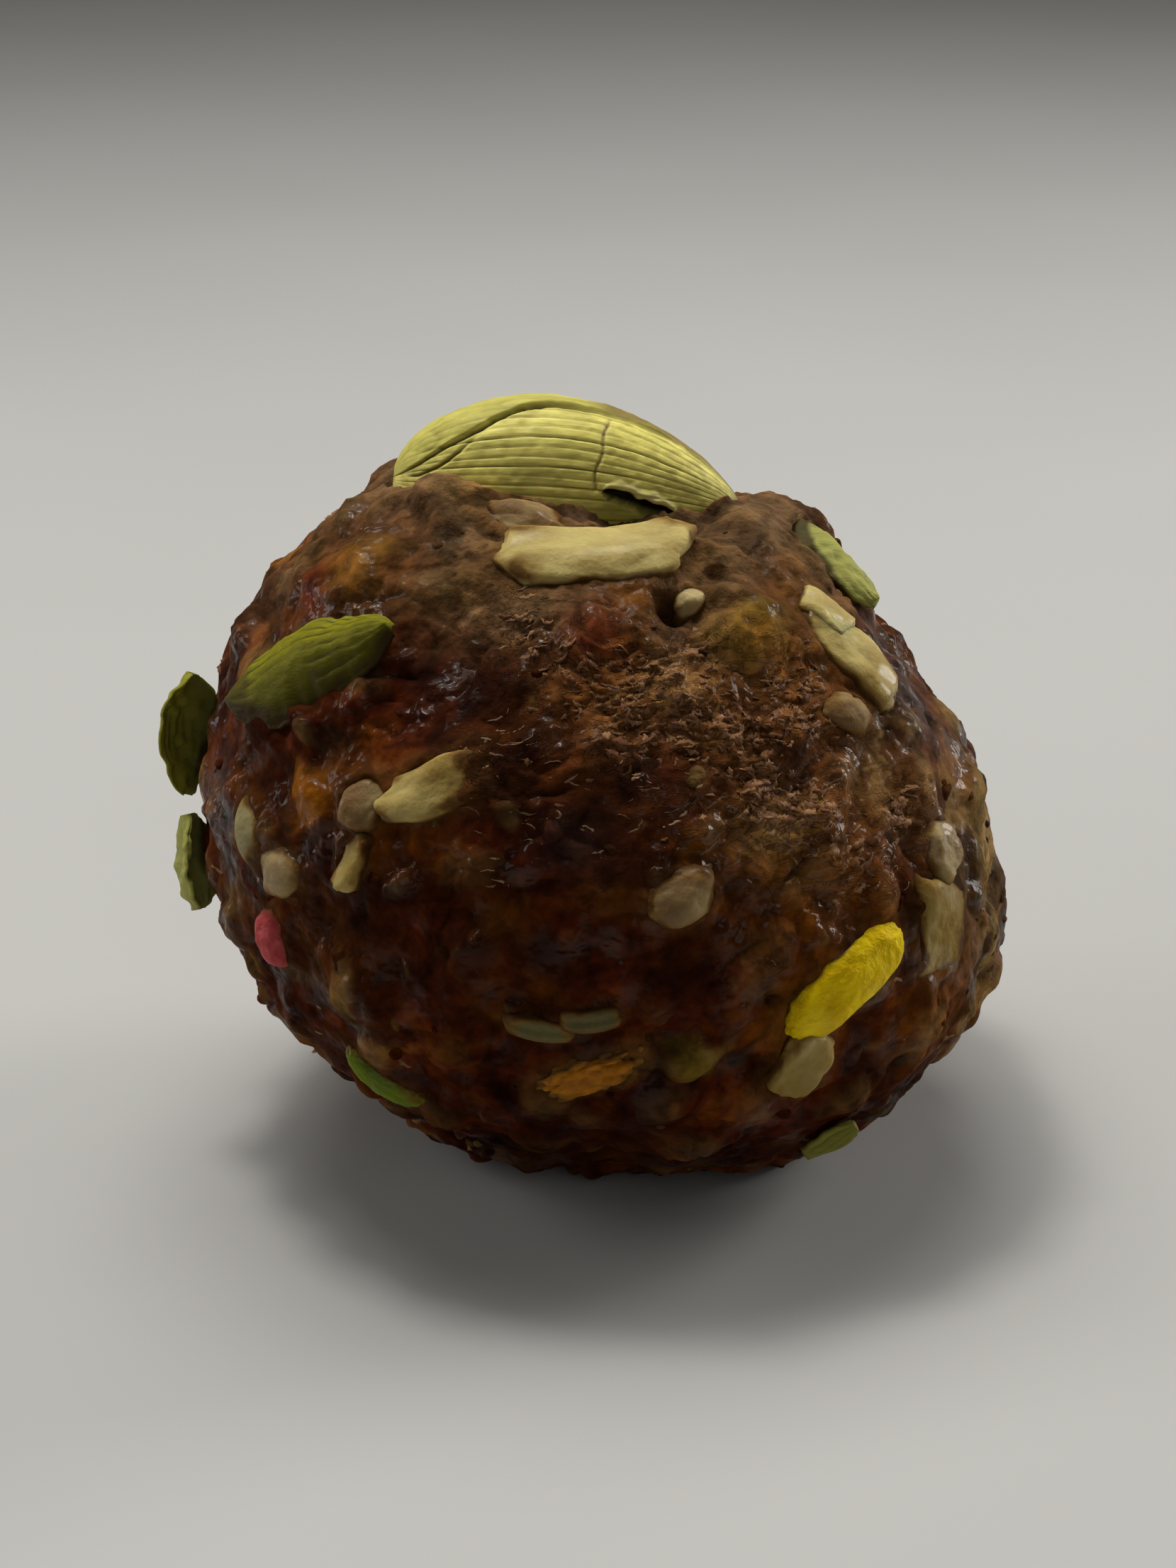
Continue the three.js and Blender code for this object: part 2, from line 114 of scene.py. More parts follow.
# Pieces at the front: kind, longitude, latitude, length, width, turn, and tint from palest 0 to brownest 1
FRONT_PIECES = [
    ("almond", -2, 66, 10.2, 4.4, 0, 0.12),
    ("cashew", -38, 70.5, 5.2, 2.6, -14, 0.95),
    ("cashew", 24, 57, 1.8, 1.5, 60, 0.0),
    ("fruit", -62, 50, 5.2, 4.2, 60, 0.6),
    ("fruit", -45, 20.5, 4.0, 2.6, -45, 0.0),
    ("almond", -26, 25.5, 5.0, 2.6, 22, 0.45),
    ("cashew", -35.5, 22, 2.8, 2.4, 70, 0.8),
    ("almond", -36, 14, 2.8, 1.7, 85, 0.65),
    ("melon_seed", -56, 12, 3.4, 2.1, 122, 0.3),
    ("cashew", -49.5, 9, 3.4, 2.3, 10, 0.55),
    ("fennel_pink", -51.5, -2, 3.2, 1.9, 100, 0.5),
    ("cashew", 10, 13, 3.4, 2.6, 0, 0.75),
    ("fennel_yellow", 34.5, -3, 7.3, 3.3, 31, 0.4),
    ("almond", 28.5, -14.5, 3.6, 2.7, 60, 0.5),
    ("almond", 53, -1, 4.8, 4.4, 70, 0.7),
    ("cashew", 56, 10, 3.2, 2.8, 95, 0.4),
    ("almond", 55, 41, 6.2, 3.2, 112, 0.3),
    ("almond", 57, 48, 3.2, 2.0, 100, 0.2),
    ("fruit", 34, 49, 5.0, 3.8, 15, 0.9),
    ("cashew", 46, 33, 3.0, 2.3, -20, 1.0),
    ("fennel_green", -35, -20, 4.4, 1.3, -38, 0.5),
    ("fennel_seed", -9, -6, 3.3, 1.3, -6, 0.3),
    ("fennel_seed", -2, -4, 2.8, 1.2, 8, 0.7),
    ("flake", -2, -14, 5.8, 2.4, 28, 0.4),
    ("fruit", 12, -11, 3.4, 2.4, 20, 1.0),
]

# Pieces round the sides and back, spread as in the solid, each near its kind's usual size
SPREAD_COUNT = 64
SPREAD_SEED = 7
SPREAD_JITTER = 0.14
SPREAD_LEAST_SIZE = 0.75
SPREAD_MORE_SIZE = 0.5
SPREAD_TINT_STEP = 0.37
FRONT_LAT_DEG = 22
FRONT_REACH_DEG = 92
FOOT_LAT_DEG = -50
CROWN_LAT_DEG = 66
SPREAD_KINDS = (
    "almond cashew fruit melon_seed cashew fennel_pink almond flake cashew fennel_yellow "
    "almond melon_seed fruit fennel_green"
).split()

# Each kind's usual length and width, and how far it stands out of the paste
KIND_SIZES = {
    "almond": (4.4, 2.7, 0.8),
    "cashew": (2.9, 2.3, 0.8),
    "fruit": (4.0, 3.2, 0.6),
    "melon_seed": (3.4, 1.7, 0.6),
    "fennel_seed": (3.0, 1.3, 0.6),
    "fennel_pink": (4.2, 2.0, 0.75),
    "fennel_yellow": (5.4, 2.3, 0.85),
    "fennel_green": (4.8, 1.5, 0.6),
    "flake": (4.6, 2.2, 0.6),
}

# Patches of other colour, finish or fibre in the paste: longitude, latitude, reach in degrees and strength
PATCHES = {
    "amber": [
        (-61, 50, 8, 0.35), (-73, 47, 9, 0.2), (-46, 20, 4, 0.45), (9, 57, 4, 0.9), (4, 48, 4, 0.5),
        (33, 47, 8, 0.35), (56, 52, 8, 0.3), (12, 19, 2.5, 0.7), (29, 13, 11, 0.3), (26, -6, 8, 0.4),
        (-34, 16, 3.5, 0.5), (-14, 10, 3.5, 0.5), (1, 14, 3, 0.6), (-40, 0, 8, 0.35), (50, -15, 9, 0.3),
        (150, 20, 16, 0.6), (-150, 0, 18, 0.6), (110, -10, 14, 0.5), (-115, 35, 12, 0.5),
        (178, 50, 14, 0.4),
    ],
    "red_skin": [
        (-2, 49, 5, 1.0), (48, 33, 6, 0.5), (-66, 44, 6, 0.7), (10, 29, 6, 0.5), (140, 45, 9, 0.7),
        (-160, 30, 9, 0.7),
    ],
    # Grey skin, and at (-3, 20) grey painted as the sheen of a cluster of glints
    "grey_skin_and_sheen": [
        (67, 29, 7, 1.0), (78, 36, 8, 0.75), (-72, 15, 6, 0.3), (-3, 20, 4, 0.6), (95, 15, 8, 0.7),
        (-140, 45, 9, 0.7),
    ],
    # dark: darker maroon paste, and painted shade under the brow, in the hole by the small cashew and low on
    # the front
    "dark": [
        (-23, 39, 10, 1.0), (-14, 32, 8, 0.85), (1, 21, 8.5, 0.95), (2, 28, 6.5, 0.85), (-60, 27, 9, 0.7),
        (-44, 28, 7, 0.4), (-50, -4, 8, 0.6), (-28, 12, 6, 0.7), (-34, 6, 8, 0.75), (-14, 3, 11, 0.68),
        (10, 3, 7, 0.7), (-18, -8, 8, 0.5), (-52, -9, 8, 0.5), (-42, -20, 8, 0.4), (40, -22, 8, 0.35),
        (17.5, 55, 4.5, 1.0), (-42, 4, 4, 0.7), (-2, -31, 18, 0.5), (120, 20, 14, 0.7),
        (-130, 10, 14, 0.7), (170, -5, 14, 0.7),
    ],
    "fibrous": [
        (-18, 49, 7, 0.6), (-8, 42, 8, 0.8), (6, 38, 10, 1.0), (20, 38, 11, 1.0), (36, 37, 10, 1.0),
        (30, 26, 11, 1.0), (12, 30, 6, 0.5), (-17, 30, 6, 0.4), (37, 14, 8, 0.65), (50, 17, 7, 0.5),
    ],
    "dry": [
        (-88, 48, 15, 0.75), (-75, 58, 9, 0.5), (-40, 53, 7, 0.8), (72, 0, 14, 0.75), (64, -15, 9, 0.5),
        (74, 24, 8, 0.5),
    ],
    "pale": [
        (72, 6, 9, 0.75), (70, -10, 9, 0.65), (62, 15, 6, 0.45), (68, -22, 7, 0.6), (52, 26, 8, 0.85),
        (11, 41, 5, 0.4), (-60, 72, 7, 0.35), (26, 20, 6, 0.45), (27, 46, 5, 0.4), (-64, 2, 5, 0.25),
    ],
    # Pale threads, and at (-3, 20) pale wisps standing in for a cluster of glints, as painted highlights
    "wisps_and_glints": [
        (35, 19, 6, 0.6), (42, 10, 4, 0.6), (-20, 33, 2.5, 0.9), (-3, 20, 2.5, 1.0), (-12, 26, 8, 0.35),
        (10, 25, 9, 0.35), (26, 17, 8, 0.4),
    ],
}
PATCH_SEEDS = dict(
    amber=71, red_skin=73, grey_skin_and_sheen=79, dark=77, fibrous=61, dry=99, pale=101, wisps_and_glints=83)

# The paste is drier above the first latitude, and dry all over above the second
DRY_FROM_LAT_DEG = 38
DRY_BY_LAT_DEG = 62

# Nuts that are quite covered by paste: longitude, latitude, length, width, turn, rise and paleness
COATED_NUTS = [
    (-66, 66, 6.0, 3.6, -10, 0.5, 0.1), (72, 58, 6.0, 4.2, 30, 0.35, 0.1),
    (-40, 52, 5.0, 3.4, 30, 0.4, 0.2), (-83, 44, 5.0, 4.0, 60, 0.4, 0.2),
    (-37, -5, 4.6, 2.3, 82, 0.45, 0.7), (-35, -15, 3.2, 2.5, 60, 0.4, 0.4),
    (-65, -6, 3.4, 2.6, 30, 0.45, 0.35), (-58, -20, 4.0, 2.8, 70, 0.4, 0.2),
    (50, -15, 4.6, 3.0, 72, 0.4, 0.5), (39, -23, 3.6, 2.6, 30, 0.4, 0.25),
    (62, -16, 4.0, 2.6, 60, 0.4, 0.5), (-28, -27, 4.2, 3.0, 20, 0.45, 0.15),
    (-12, -33, 4.0, 3.2, 65, 0.4, 0.1), (14, -30, 4.4, 3.0, 10, 0.45, 0.2),
    (22, 4, 3.6, 2.6, 15, 0.3, 0.2), (-17, 16, 3.2, 2.4, 40, 0.3, 0.2), (31, 14, 4.6, 3.0, 60, 0.3, 0.25),
    (46, 20, 3.6, 2.6, 80, 0.35, 0.35), (-22, -12, 3.6, 2.4, 30, 0.3, 0.1),
    (8, -19, 3.8, 2.6, 70, 0.35, 0.2), (-75, 30, 3.6, 2.6, 50, 0.35, 0.3),
    (63, -18, 3.0, 2.4, 40, 0.45, 0.75), (68, -27, 3.2, 2.2, 70, 0.4, 0.6),
    (58, 20, 3.4, 2.6, 100, 0.4, 0.5), (66, 3, 3.6, 2.2, 80, 0.35, 0.5), (-3, 49, 4.4, 3.4, 10, 0.5, 0.0),
    (72, 12, 3.2, 2.4, 70, 0.45, 0.8), (70, -8, 3.4, 2.4, 90, 0.45, 0.8),
    (60, 28, 3.0, 2.2, 40, 0.4, 0.6), (76, -18, 3.2, 2.4, 60, 0.45, 0.7),
]

# More of them, spread round: the larger keep off the front and the crown, the bits off the wrinkled band
COATED_SPREAD = dict(count=96, seed=303, least=2.4, most=4.6, rise=0.42, paleness=0.7)
COATED_BITS = dict(count=460, seed=311, least=0.8, most=3.2, rise=0.55, paleness=0.35)
COATED_JITTER = 0.2
COATED_LEAST_WIDTH = 0.55
COATED_MORE_WIDTH = 0.35
COATED_RARITY = 1.5
COATED_MOST_FRONT = 0.45
COATED_HIGHEST_Z = 0.85
COATED_MOST_FIBROUS = 0.3

# Hollows under the brow and between lumps: longitude, latitude, depth and reach in degrees
HOLLOWS = [
    (-27, 42, 0.8, 5), (-16, 37, 0.5, 4), (-3, 21, 0.5, 5), (-42, 5, 0.6, 3), (-29, 1, 0.4, 3),
    (22, -16, 0.5, 3), (-71, 4, 0.4, 3), (17, 55.5, 0.9, 2),
]


# Draws, noise and directions

def draws_from(seed):
    """Repeatable draws between 0 and 1, the same as the solid's."""
    state = seed

    def draw():
        nonlocal state
        state = (state * 1664525 + 1013904223) % 2**32
        return state / 2**32

    return draw


def spiral_direction(index, count):
    z = 1 - (2 * index + 1) / count
    ring = math.sqrt(1 - z * z)
    turn = index * math.pi * (3 - math.sqrt(5))
    return np.array([ring * math.cos(turn), ring * math.sin(turn), z])


def direction_at(lon_deg, lat_deg):
    lon = math.radians(lon_deg)
    lat = math.radians(lat_deg)
    return np.array([math.sin(lon) * math.cos(lat), -math.cos(lon) * math.cos(lat), math.sin(lat)])


def unit(vectors):
    return vectors / np.linalg.norm(vectors, axis=-1, keepdims=True)


def jittered_direction(draw, index, count, jitter):
    aside = np.array([draw() - 0.5, draw() - 0.5, draw() - 0.5])
    return unit(spiral_direction(index, count) + aside * jitter)


def ramp(values, low, high):
    """0 below low, 1 above high and smooth between."""
    share = np.clip((values - low) / (high - low), 0, 1)
    return share * share * (3 - 2 * share)


def hashed(spots, seed):
    """A repeatable number between 0 and 1 for each lattice spot."""
    x, y, z = (spots[:, k].astype(np.uint64) for k in range(3))
    mask = np.uint64(0xFFFFFFFF)
    mixed = (x * np.uint64(73856093) + y * np.uint64(19349663) + z * np.uint64(83492791)) & mask
    mixed = (mixed + np.uint64(seed * 7919 + 17)) & mask
    for factor in (2246822519, 3266489917):
        mixed = ((mixed ^ (mixed >> np.uint64(15))) * np.uint64(factor)) & mask
    return (mixed ^ (mixed >> np.uint64(16))) / 2**32


LATTICE_SHIFT = 512


def noise(points, size, seed):
    """Smooth noise between -1 and 1, its bumps about size across."""
    scaled = points / size + LATTICE_SHIFT
    base = np.floor(scaled)
    part = scaled - base
    part = part * part * (3 - 2 * part)
    total = np.zeros(len(points))
    for corner in itertools.product((0, 1), repeat=3):
        weight = np.where(np.array(corner), part, 1 - part).prod(axis=1)
        total += weight * hashed(base + corner, seed)
    return 2 * total - 1


def ridges(points, size, seed):
    """Noise with sharp ridges, 1 along them."""
    return 1 - np.abs(noise(points, size, seed))


def noise_vectors(points, size, seeds):
    return np.stack([noise(points, size, seed) for seed in seeds], axis=1)


def drawn_out(points, share):
    """Points squeezed along X, so that noise at them is drawn out along it."""
    return points * np.array([share, 1, 1])


def ball_noise(directions, size, seed):
    """Noise over a ball as large as the ladoo."""
    return noise(directions * HALF_DEPTH, size, seed)


def cells(points, size, seed):
    """Distance in cells to the nearest and second nearest scattered centre, and the nearest's draw."""
    scaled = points / size + LATTICE_SHIFT
    base = np.floor(scaled)
    nearest, second = np.full((2, len(points)), np.inf)
    owner = np.zeros(len(points))
    for step in itertools.product((-1, 0, 1), repeat=3):
        spot = base + step
        centre = spot + np.stack([hashed(spot, seed + k) for k in range(3)], axis=1)
        distance = np.linalg.norm(scaled - centre, axis=1)
        closer = distance < nearest
        second = np.where(closer, nearest, np.minimum(second, distance))
        owner = np.where(closer, hashed(spot, seed + 3), owner)
        nearest = np.where(closer, distance, nearest)
    return nearest, second, owner


# The ball's form

def bump_row(direction, height, width_deg):
    return [*direction, height, 1 - math.cos(math.radians(width_deg))]


def spread_bumps(rule):
    draw = draws_from(rule["seed"])
    rows = []
    for index in range(rule["count"]):
        height = rule["height"] * (2 * draw() - 1)
        width_deg = rule["least_deg"] + (rule["most_deg"] - rule["least_deg"]) * draw()
        rows.append(bump_row(spiral_direction(index, rule["count"]), height, width_deg))
    return rows


SWELL_ROWS = [bump_row(direction_at(s["lon"], s["lat"]), s["height"], s["width_deg"]) for s in SWELLS]
BUMPS = np.array(SWELL_ROWS + spread_bumps(LUMPS) + spread_bumps(CRAGS))
LEAN = math.radians(LEAN_DEG)
LONG_AXIS = np.array([math.cos(LEAN), 0, -math.sin(LEAN)])
SHORT_AXIS = np.array([math.sin(LEAN), 0, math.cos(LEAN)])


def in_batches(work, rows, size=6000):
    return np.concatenate([work(rows[start:start + size]) for start in range(0, len(rows), size)])


def ball_radius(directions):
    """Distance from the centre to the bare ball's surface, the same as the solid's."""
    def one_batch(d):
        along = d @ LONG_AXIS / HALF_LENGTH
        up = d @ SHORT_AXIS / HALF_HEIGHT
        smooth = 1 / np.sqrt(along**2 + (d[:, 1] / HALF_DEPTH) ** 2 + up**2)
        return smooth + np.exp((d @ BUMPS[:, :3].T - 1) / BUMPS[:, 4]) @ BUMPS[:, 3]

    return in_batches(one_batch, directions)


def ball_normal(direction):
    along = direction @ LONG_AXIS / HALF_LENGTH**2
    up = direction @ SHORT_AXIS / HALF_HEIGHT**2
    return unit(along * LONG_AXIS + up * SHORT_AXIS + np.array([0, direction[1] / HALF_DEPTH**2, 0]))


def turned(vector, axis, angle_deg):
    angle = math.radians(angle_deg)
    across = np.cross(axis, vector) * math.sin(angle)
    return vector * math.cos(angle) + across + axis * (axis @ vector) * (1 - math.cos(angle))


def frame_on(direction, turn_deg, lift, twist_deg=0):
    """Axes (as rows) and place of a frame on the ball: X along, Y across, Z out of the surface."""
    normal = ball_normal(direction)
    level = unit(np.cross([0, 0, 1], normal))
    along = turned(level, normal, turn_deg)
    normal = turned(normal, along, twist_deg)
    axes = np.array([along, np.cross(normal, along), normal])
    place = direction * ball_radius(direction[None])[0] + ball_normal(direction) * lift
    return axes, place


def spread_pieces():
    """Kind, direction, length, width, turn and tint of each piece round the sides and back."""
    draw = draws_from(SPREAD_SEED)
    front = direction_at(0, FRONT_LAT_DEG)
    pieces = []
    for index in range(SPREAD_COUNT):
        direction = jittered_direction(draw, index, SPREAD_COUNT, SPREAD_JITTER)
        kind = SPREAD_KINDS[index % len(SPREAD_KINDS)]
        size = SPREAD_LEAST_SIZE + SPREAD_MORE_SIZE * draw()
        turn = 180 * draw()
        lat_deg = math.degrees(math.asin(direction[2]))
        in_front = direction @ front > math.cos(math.radians(FRONT_REACH_DEG))
        if in_front or lat_deg < FOOT_LAT_DEG or lat_deg > CROWN_LAT_DEG:
            continue
        long, wide, _ = KIND_SIZES[kind]
        pieces.append((kind, direction, long * size, wide * size, turn, (index * SPREAD_TINT_STEP) % 1))
    return pieces


def all_pieces():
    front = [(kind, direction_at(lon, lat), *rest) for kind, lon, lat, *rest in FRONT_PIECES]
    return front + spread_pieces()


PIECES = all_pieces()


# The pod's form

POD_FATTENING = math.log(0.5) / math.log(POD_FATTEST)
THINNEST = 1e-9


def pod_axes():
    """The pod's X, Y and Z as rows."""
    roll = math.radians(POD_ROLL_DEG)
    yaw = math.radians(POD_YAW_DEG)
    about_y = np.array([
        [math.cos(roll), 0, math.sin(roll)],
        [0, 1, 0],
        [-math.sin(roll), 0, math.cos(roll)],
    ])
    about_z = np.array([
        [math.cos(yaw), -math.sin(yaw), 0],
        [math.sin(yaw), math.cos(yaw), 0],
        [0, 0, 1],
    ])
    return (about_y @ about_z).T


POD_AXES = pod_axes()


def pod_swell(share):
    return np.sin(np.pi * np.clip(share, 0, 1) ** POD_FATTENING) ** POD_BLUNTNESS


def pod_section(angle):
    return 1 + POD_TRIANGULARITY * np.cos(3 * (angle - math.radians(POD_FLAP_FROM_DEG)))


def pod_sag(share):
    return POD_DROOP * (2 * share - 1) ** 2


def inside_pod(points, grow):
    """Which points lie inside the pod, thickened by grow."""
    local = (points - POD_PLACE) @ POD_AXES.T
    share = local[:, 0] / POD_LENGTH + 0.5
    height = local[:, 2] + pod_sag(share)
    angle = np.arctan2(height, -local[:, 1])
    reach = pod_swell(share) * pod_section(angle)
    wide = np.maximum(reach * POD_HALF_WIDTH + grow, THINNEST)
    thick = np.maximum(reach * POD_HALF_THICKNESS + grow, THINNEST)
    within = (share > 0) & (share < 1)
    return within & ((local[:, 1] / wide) ** 2 + (height / thick) ** 2 < 1)


POD_SEARCH = np.arange(12.5, 23, 0.12)
POD_SEARCH_LAT_DEG = 35
POD_SEAT_GAP = 0.08


def below_pod(directions, radius):
    """radius, cut back to the pod's underside where the pod lies in the paste."""
    near = np.flatnonzero(directions[:, 2] > math.sin(math.radians(POD_SEARCH_LAT_DEG)))
    limit = np.full(len(near), np.inf)
    for reach in POD_SEARCH[::-1]:
        limit[inside_pod(directions[near] * reach, 0)] = reach
    radius = radius.copy()
    radius[near] = np.minimum(radius[near], limit - POD_SEAT_GAP)
    return radius


# Husk form

def husk_frame(husk):
    return frame_on(direction_at(husk["lon"], husk["lat"]), husk["turn"], husk["lift"], husk["twist"])


def husk_half_width(husk, off_middle):
    return husk["wide"] / 2 * np.maximum(1 - off_middle**2, HUSK_LEAST_END) ** HUSK_BLUNTNESS


def husk_rise(husk, x, y):
    off_middle = 2 * x / husk["long"]
    across = y / husk_half_width(husk, off_middle)
    crown = husk["dome"] * (1 - across**2) * (1 - 0.6 * off_middle**2)
    ripple = 0.12 * np.sin(2.5 * off_middle + 4 * y / husk["wide"])
    return crown + ripple + husk["curl"] * (off_middle / 2 + 0.5) ** 2 - husk["dome"] * 0.4


HUSK_SEAT_GAP = 0.1
HUSK_SEAT_MARGIN = 0.15
HUSK_SEAT_DEPTH = 3.5


def below_husks(points):
    """Points of the paste, pressed down to the underside of each husk that lies on them."""
    points = points.copy()
    for husk in HUSKS:
        axes, place = husk_frame(husk)
        local = (points - place) @ axes.T
        off_middle = np.clip(2 * local[:, 0] / husk["long"], -1, 1)
        half = husk_half_width(husk, off_middle)
        lower = (2 * husk["tuck"] - 1) * half - (0 if husk["tuck"] else HUSK_SEAT_MARGIN)
        within = np.abs(local[:, 0]) < husk["long"] / 2 + HUSK_SEAT_MARGIN
        within &= (local[:, 1] < half + HUSK_SEAT_MARGIN) & (local[:, 1] > lower)
        side = np.clip(local[:, 1], -half, half)
        floor = husk_rise(husk, off_middle * husk["long"] / 2, side) - HUSK_THICKNESS / 2 - HUSK_SEAT_GAP
        excess = local[:, 2] - floor
        pressed = within & (excess > 0) & (excess < HUSK_SEAT_DEPTH)
        points[pressed] -= excess[pressed, None] * axes[2]
    return points


# The paste's surface

# Pieces are looked for only within this cosine of a direction
NEAR_COSINE = 0.9


def cap(directions, lon, lat, reach_deg):
    """1 at a longitude and latitude, falling away over about reach_deg."""
    return np.exp((directions @ direction_at(lon, lat) - 1) / (1 - math.cos(math.radians(reach_deg))))


def patch_share(directions, name):
    """How strongly each direction lies in the named patches, whose edges are uneven."""
    share = np.zeros(len(directions))
    for lon, lat, reach_deg, strength in PATCHES[name]:
        share = np.maximum(share, strength * cap(directions, lon, lat, reach_deg))
    seed = PATCH_SEEDS[name]
    uneven = 1 + 0.5 * ball_noise(directions, 2.4, seed) + 0.3 * ball_noise(directions, 0.9, seed + 1)
    return np.clip(share * uneven, 0, 1)


def fibrous_share(directions):
    """Where the paste is smeared into wrinkles: a band across the upper front, and patches behind."""
    front = patch_share(directions, "fibrous")
    behind = ramp(directions[:, 1], -0.2, 0.4) * ramp(ball_noise(directions, 11.0, 61), 0.0, 0.5)
    clumps = 0.45 + 0.55 * ramp(ball_noise(directions, 2.3, 63), -0.25, 0.3)
    return np.maximum(front, 0.6 * behind) * clumps


def dry_share(directions):
    lat_deg = np.degrees(np.arcsin(directions[:, 2]))
    uneven = 9 * ball_noise(directions, 4.0, 75)
    crown = ramp(lat_deg + uneven, DRY_FROM_LAT_DEG, DRY_BY_LAT_DEG)
    return np.maximum(crown, patch_share(directions, "dry"))


def coated_spread(rule, keep):
    """Direction, length, width, turn, rise and paleness of nuts spread round the ball where keep says so."""
    draw = draws_from(rule["seed"])
    nuts = []
    for index in range(rule["count"]):
        direction = jittered_direction(draw, index, rule["count"], COATED_JITTER)
        long = rule["least"] + (rule["most"] - rule["least"]) * draw()
        wide = long * (COATED_LEAST_WIDTH + COATED_MORE_WIDTH * draw())
        turn = 180 * draw()
        rise = rule["rise"] * draw() ** COATED_RARITY
        paleness = rule["paleness"] * draw() ** COATED_RARITY
        if keep(direction):
            nuts.append((direction, long, wide, turn, rise, paleness))
    return nuts


def coated_nuts():
    """Every nut that is quite covered by paste."""
    front = direction_at(0, FRONT_LAT_DEG)

    def off_front(direction):
        return direction @ front < COATED_MOST_FRONT and direction[2] < COATED_HIGHEST_Z

    def off_band(direction):
        return fibrous_share(direction[None])[0] < COATED_MOST_FIBROUS

    placed = [(direction_at(lon, lat), *rest) for lon, lat, *rest in COATED_NUTS]
    return placed + coated_spread(COATED_SPREAD, off_front) + coated_spread(COATED_BITS, off_band)


COATED = coated_nuts()


def oval_distance(directions, radius, direction, long, wide, turn):
    """Which directions are near an oval on the ball, and how far each is from its middle, 1 at its edge."""
    axes, place = frame_on(direction, turn, 0)
    close = np.flatnonzero(directions @ direction > NEAR_COSINE)
    local = (directions[close] * radius[close, None] - place) @ axes.T
    return close, np.hypot(local[:, 0] / (long / 2), local[:, 1] / (wide / 2))


def rounded(outside):
    """Height of a rounded lump, 1 at its middle and 0 from its edge."""
    return np.clip(1 - outside**2.2, 0, 1) ** 0.7


def raise_to(values, places, least):
    """Make the values at the given places no smaller than least."""
    values[places] = np.maximum(values[places], least)


def coated_relief(directions, radius):
    """Rise of the paste over the nuts it covers, and how far their paleness shows through."""
    rise, pale = np.zeros((2, len(directions)))
    uneven = 1 + 0.3 * ball_noise(directions, 1.1, 94) + 0.15 * ball_noise(directions, 0.5, 96)
    for *oval, height, paleness in COATED:
        close, outside = oval_distance(directions, radius, *oval)
        outside = outside * uneven[close]
        raise_to(rise, close, height * rounded(outside))
        raise_to(pale, close, paleness * (1 - ramp(outside, 0.35, 1.0)))
    return rise, pale


def fruit_relief(directions, radius):
    """Rise of the paste over the soft fruit in it, and how amber and how olive the fruit shows."""
    rise, amber, olive = np.zeros((3, len(directions)))
    uneven = 1 + 0.35 * ball_noise(directions, 1.0, 93)
    for kind, *oval, tint in PIECES:
        if kind != "fruit":
            continue
        close, outside = oval_distance(directions, radius, *oval)
        shows = 1 - ramp(outside * uneven[close], 0.4, 1.1)
        raise_to(rise, close, KIND_SIZES["fruit"][2] * rounded(outside) * uneven[close])
        raise_to(amber, close, (1 - tint) * shows)
        raise_to(olive, close, tint * shows)
    return rise, amber, olive


def paste_relief(spots, fibrous, dry, fruity):
    """Rise of the paste's folds, chunks and pits, how deep in one each spot is, and its chunk's shade."""
    # Folds and soft lumps
    warp = noise_vectors(spots, 2.6, (5, 6, 7))
    bent = spots + 0.9 * warp
    fold = np.exp(-np.abs(noise(bent, 3.4, 11)) / 0.12) * ramp(noise(spots, 3.0, 17), -0.1, 0.5)
    rise = 0.20 * noise(bent, 2.1, 12) + 0.12 * noise(bent, 1.0, 13) - 0.24 * fold
    # Wrinkles where it is smeared, and grains all over
    wrinkles = ridges(bent + 0.3 * warp[:, ::-1], WRINKLE_SIZE, 31)
    fine = ridges(bent, WRINKLE_SIZE * 0.7, 37)
    rise += fibrous * (0.36 * (wrinkles**4 - 0.25) + 0.32 * (fine**3 - 0.3))
    grain = ridges(bent, 0.75, 43)
    rise += (0.07 + 0.03 * dry + 0.04 * fibrous) * (grain**2 - 0.5)
    rise += 0.05 * noise(spots, 0.42, 41)
    # Chunks with crevices between them
    crumbled = bent + 0.25 * noise_vectors(spots, 0.6, (55, 56, 57))
    near, next_near, chunk = cells(crumbled + 0.5 * warp[:, ::-1], CHUNK_SPACING, 45)
    broken = 1 - 0.85 * fruity
    crevice = np.exp(-(next_near - near) / 0.14) * ramp(noise(spots, 2.4, 47), -0.4, 0.3) * broken
    rise += 0.2 * dry * noise(bent, 1.5, 49) - (0.2 + 0.04 * dry) * crevice
    # Pits
    pit, _, deep = cells(bent, PIT_SPACING, 53)
    hollow = np.exp(-(pit / 0.12) ** 2) * ramp(deep, 0.35, 0.7)
    rise -= 0.6 * hollow
    # How deep in a fold, pit or crevice each spot is; the colour paints this as shade
    depth = np.clip(0.7 * fold**1.5 + hollow + 0.3 * crevice**2, 0, 1)
    return rise, depth, 0.5 + (chunk - 0.5) * broken


def hollow_depth(directions):
    """How far the paste falls back in its hollows."""
    depth = sum(deep * cap(directions, lon, lat, reach_deg) for lon, lat, deep, reach_deg in HOLLOWS)
    return depth * (1 + 0.5 * ball_noise(directions, 1.6, 95))


SKIRT_SHARES = {"almond": 0.25, "cashew": 0.35, "melon_seed": 0.35}
LEAST_SKIRT_SHARE = 0.15
DIP_UNDER_PIECES = 0.4
TUCK_HEIGHT = 1.0


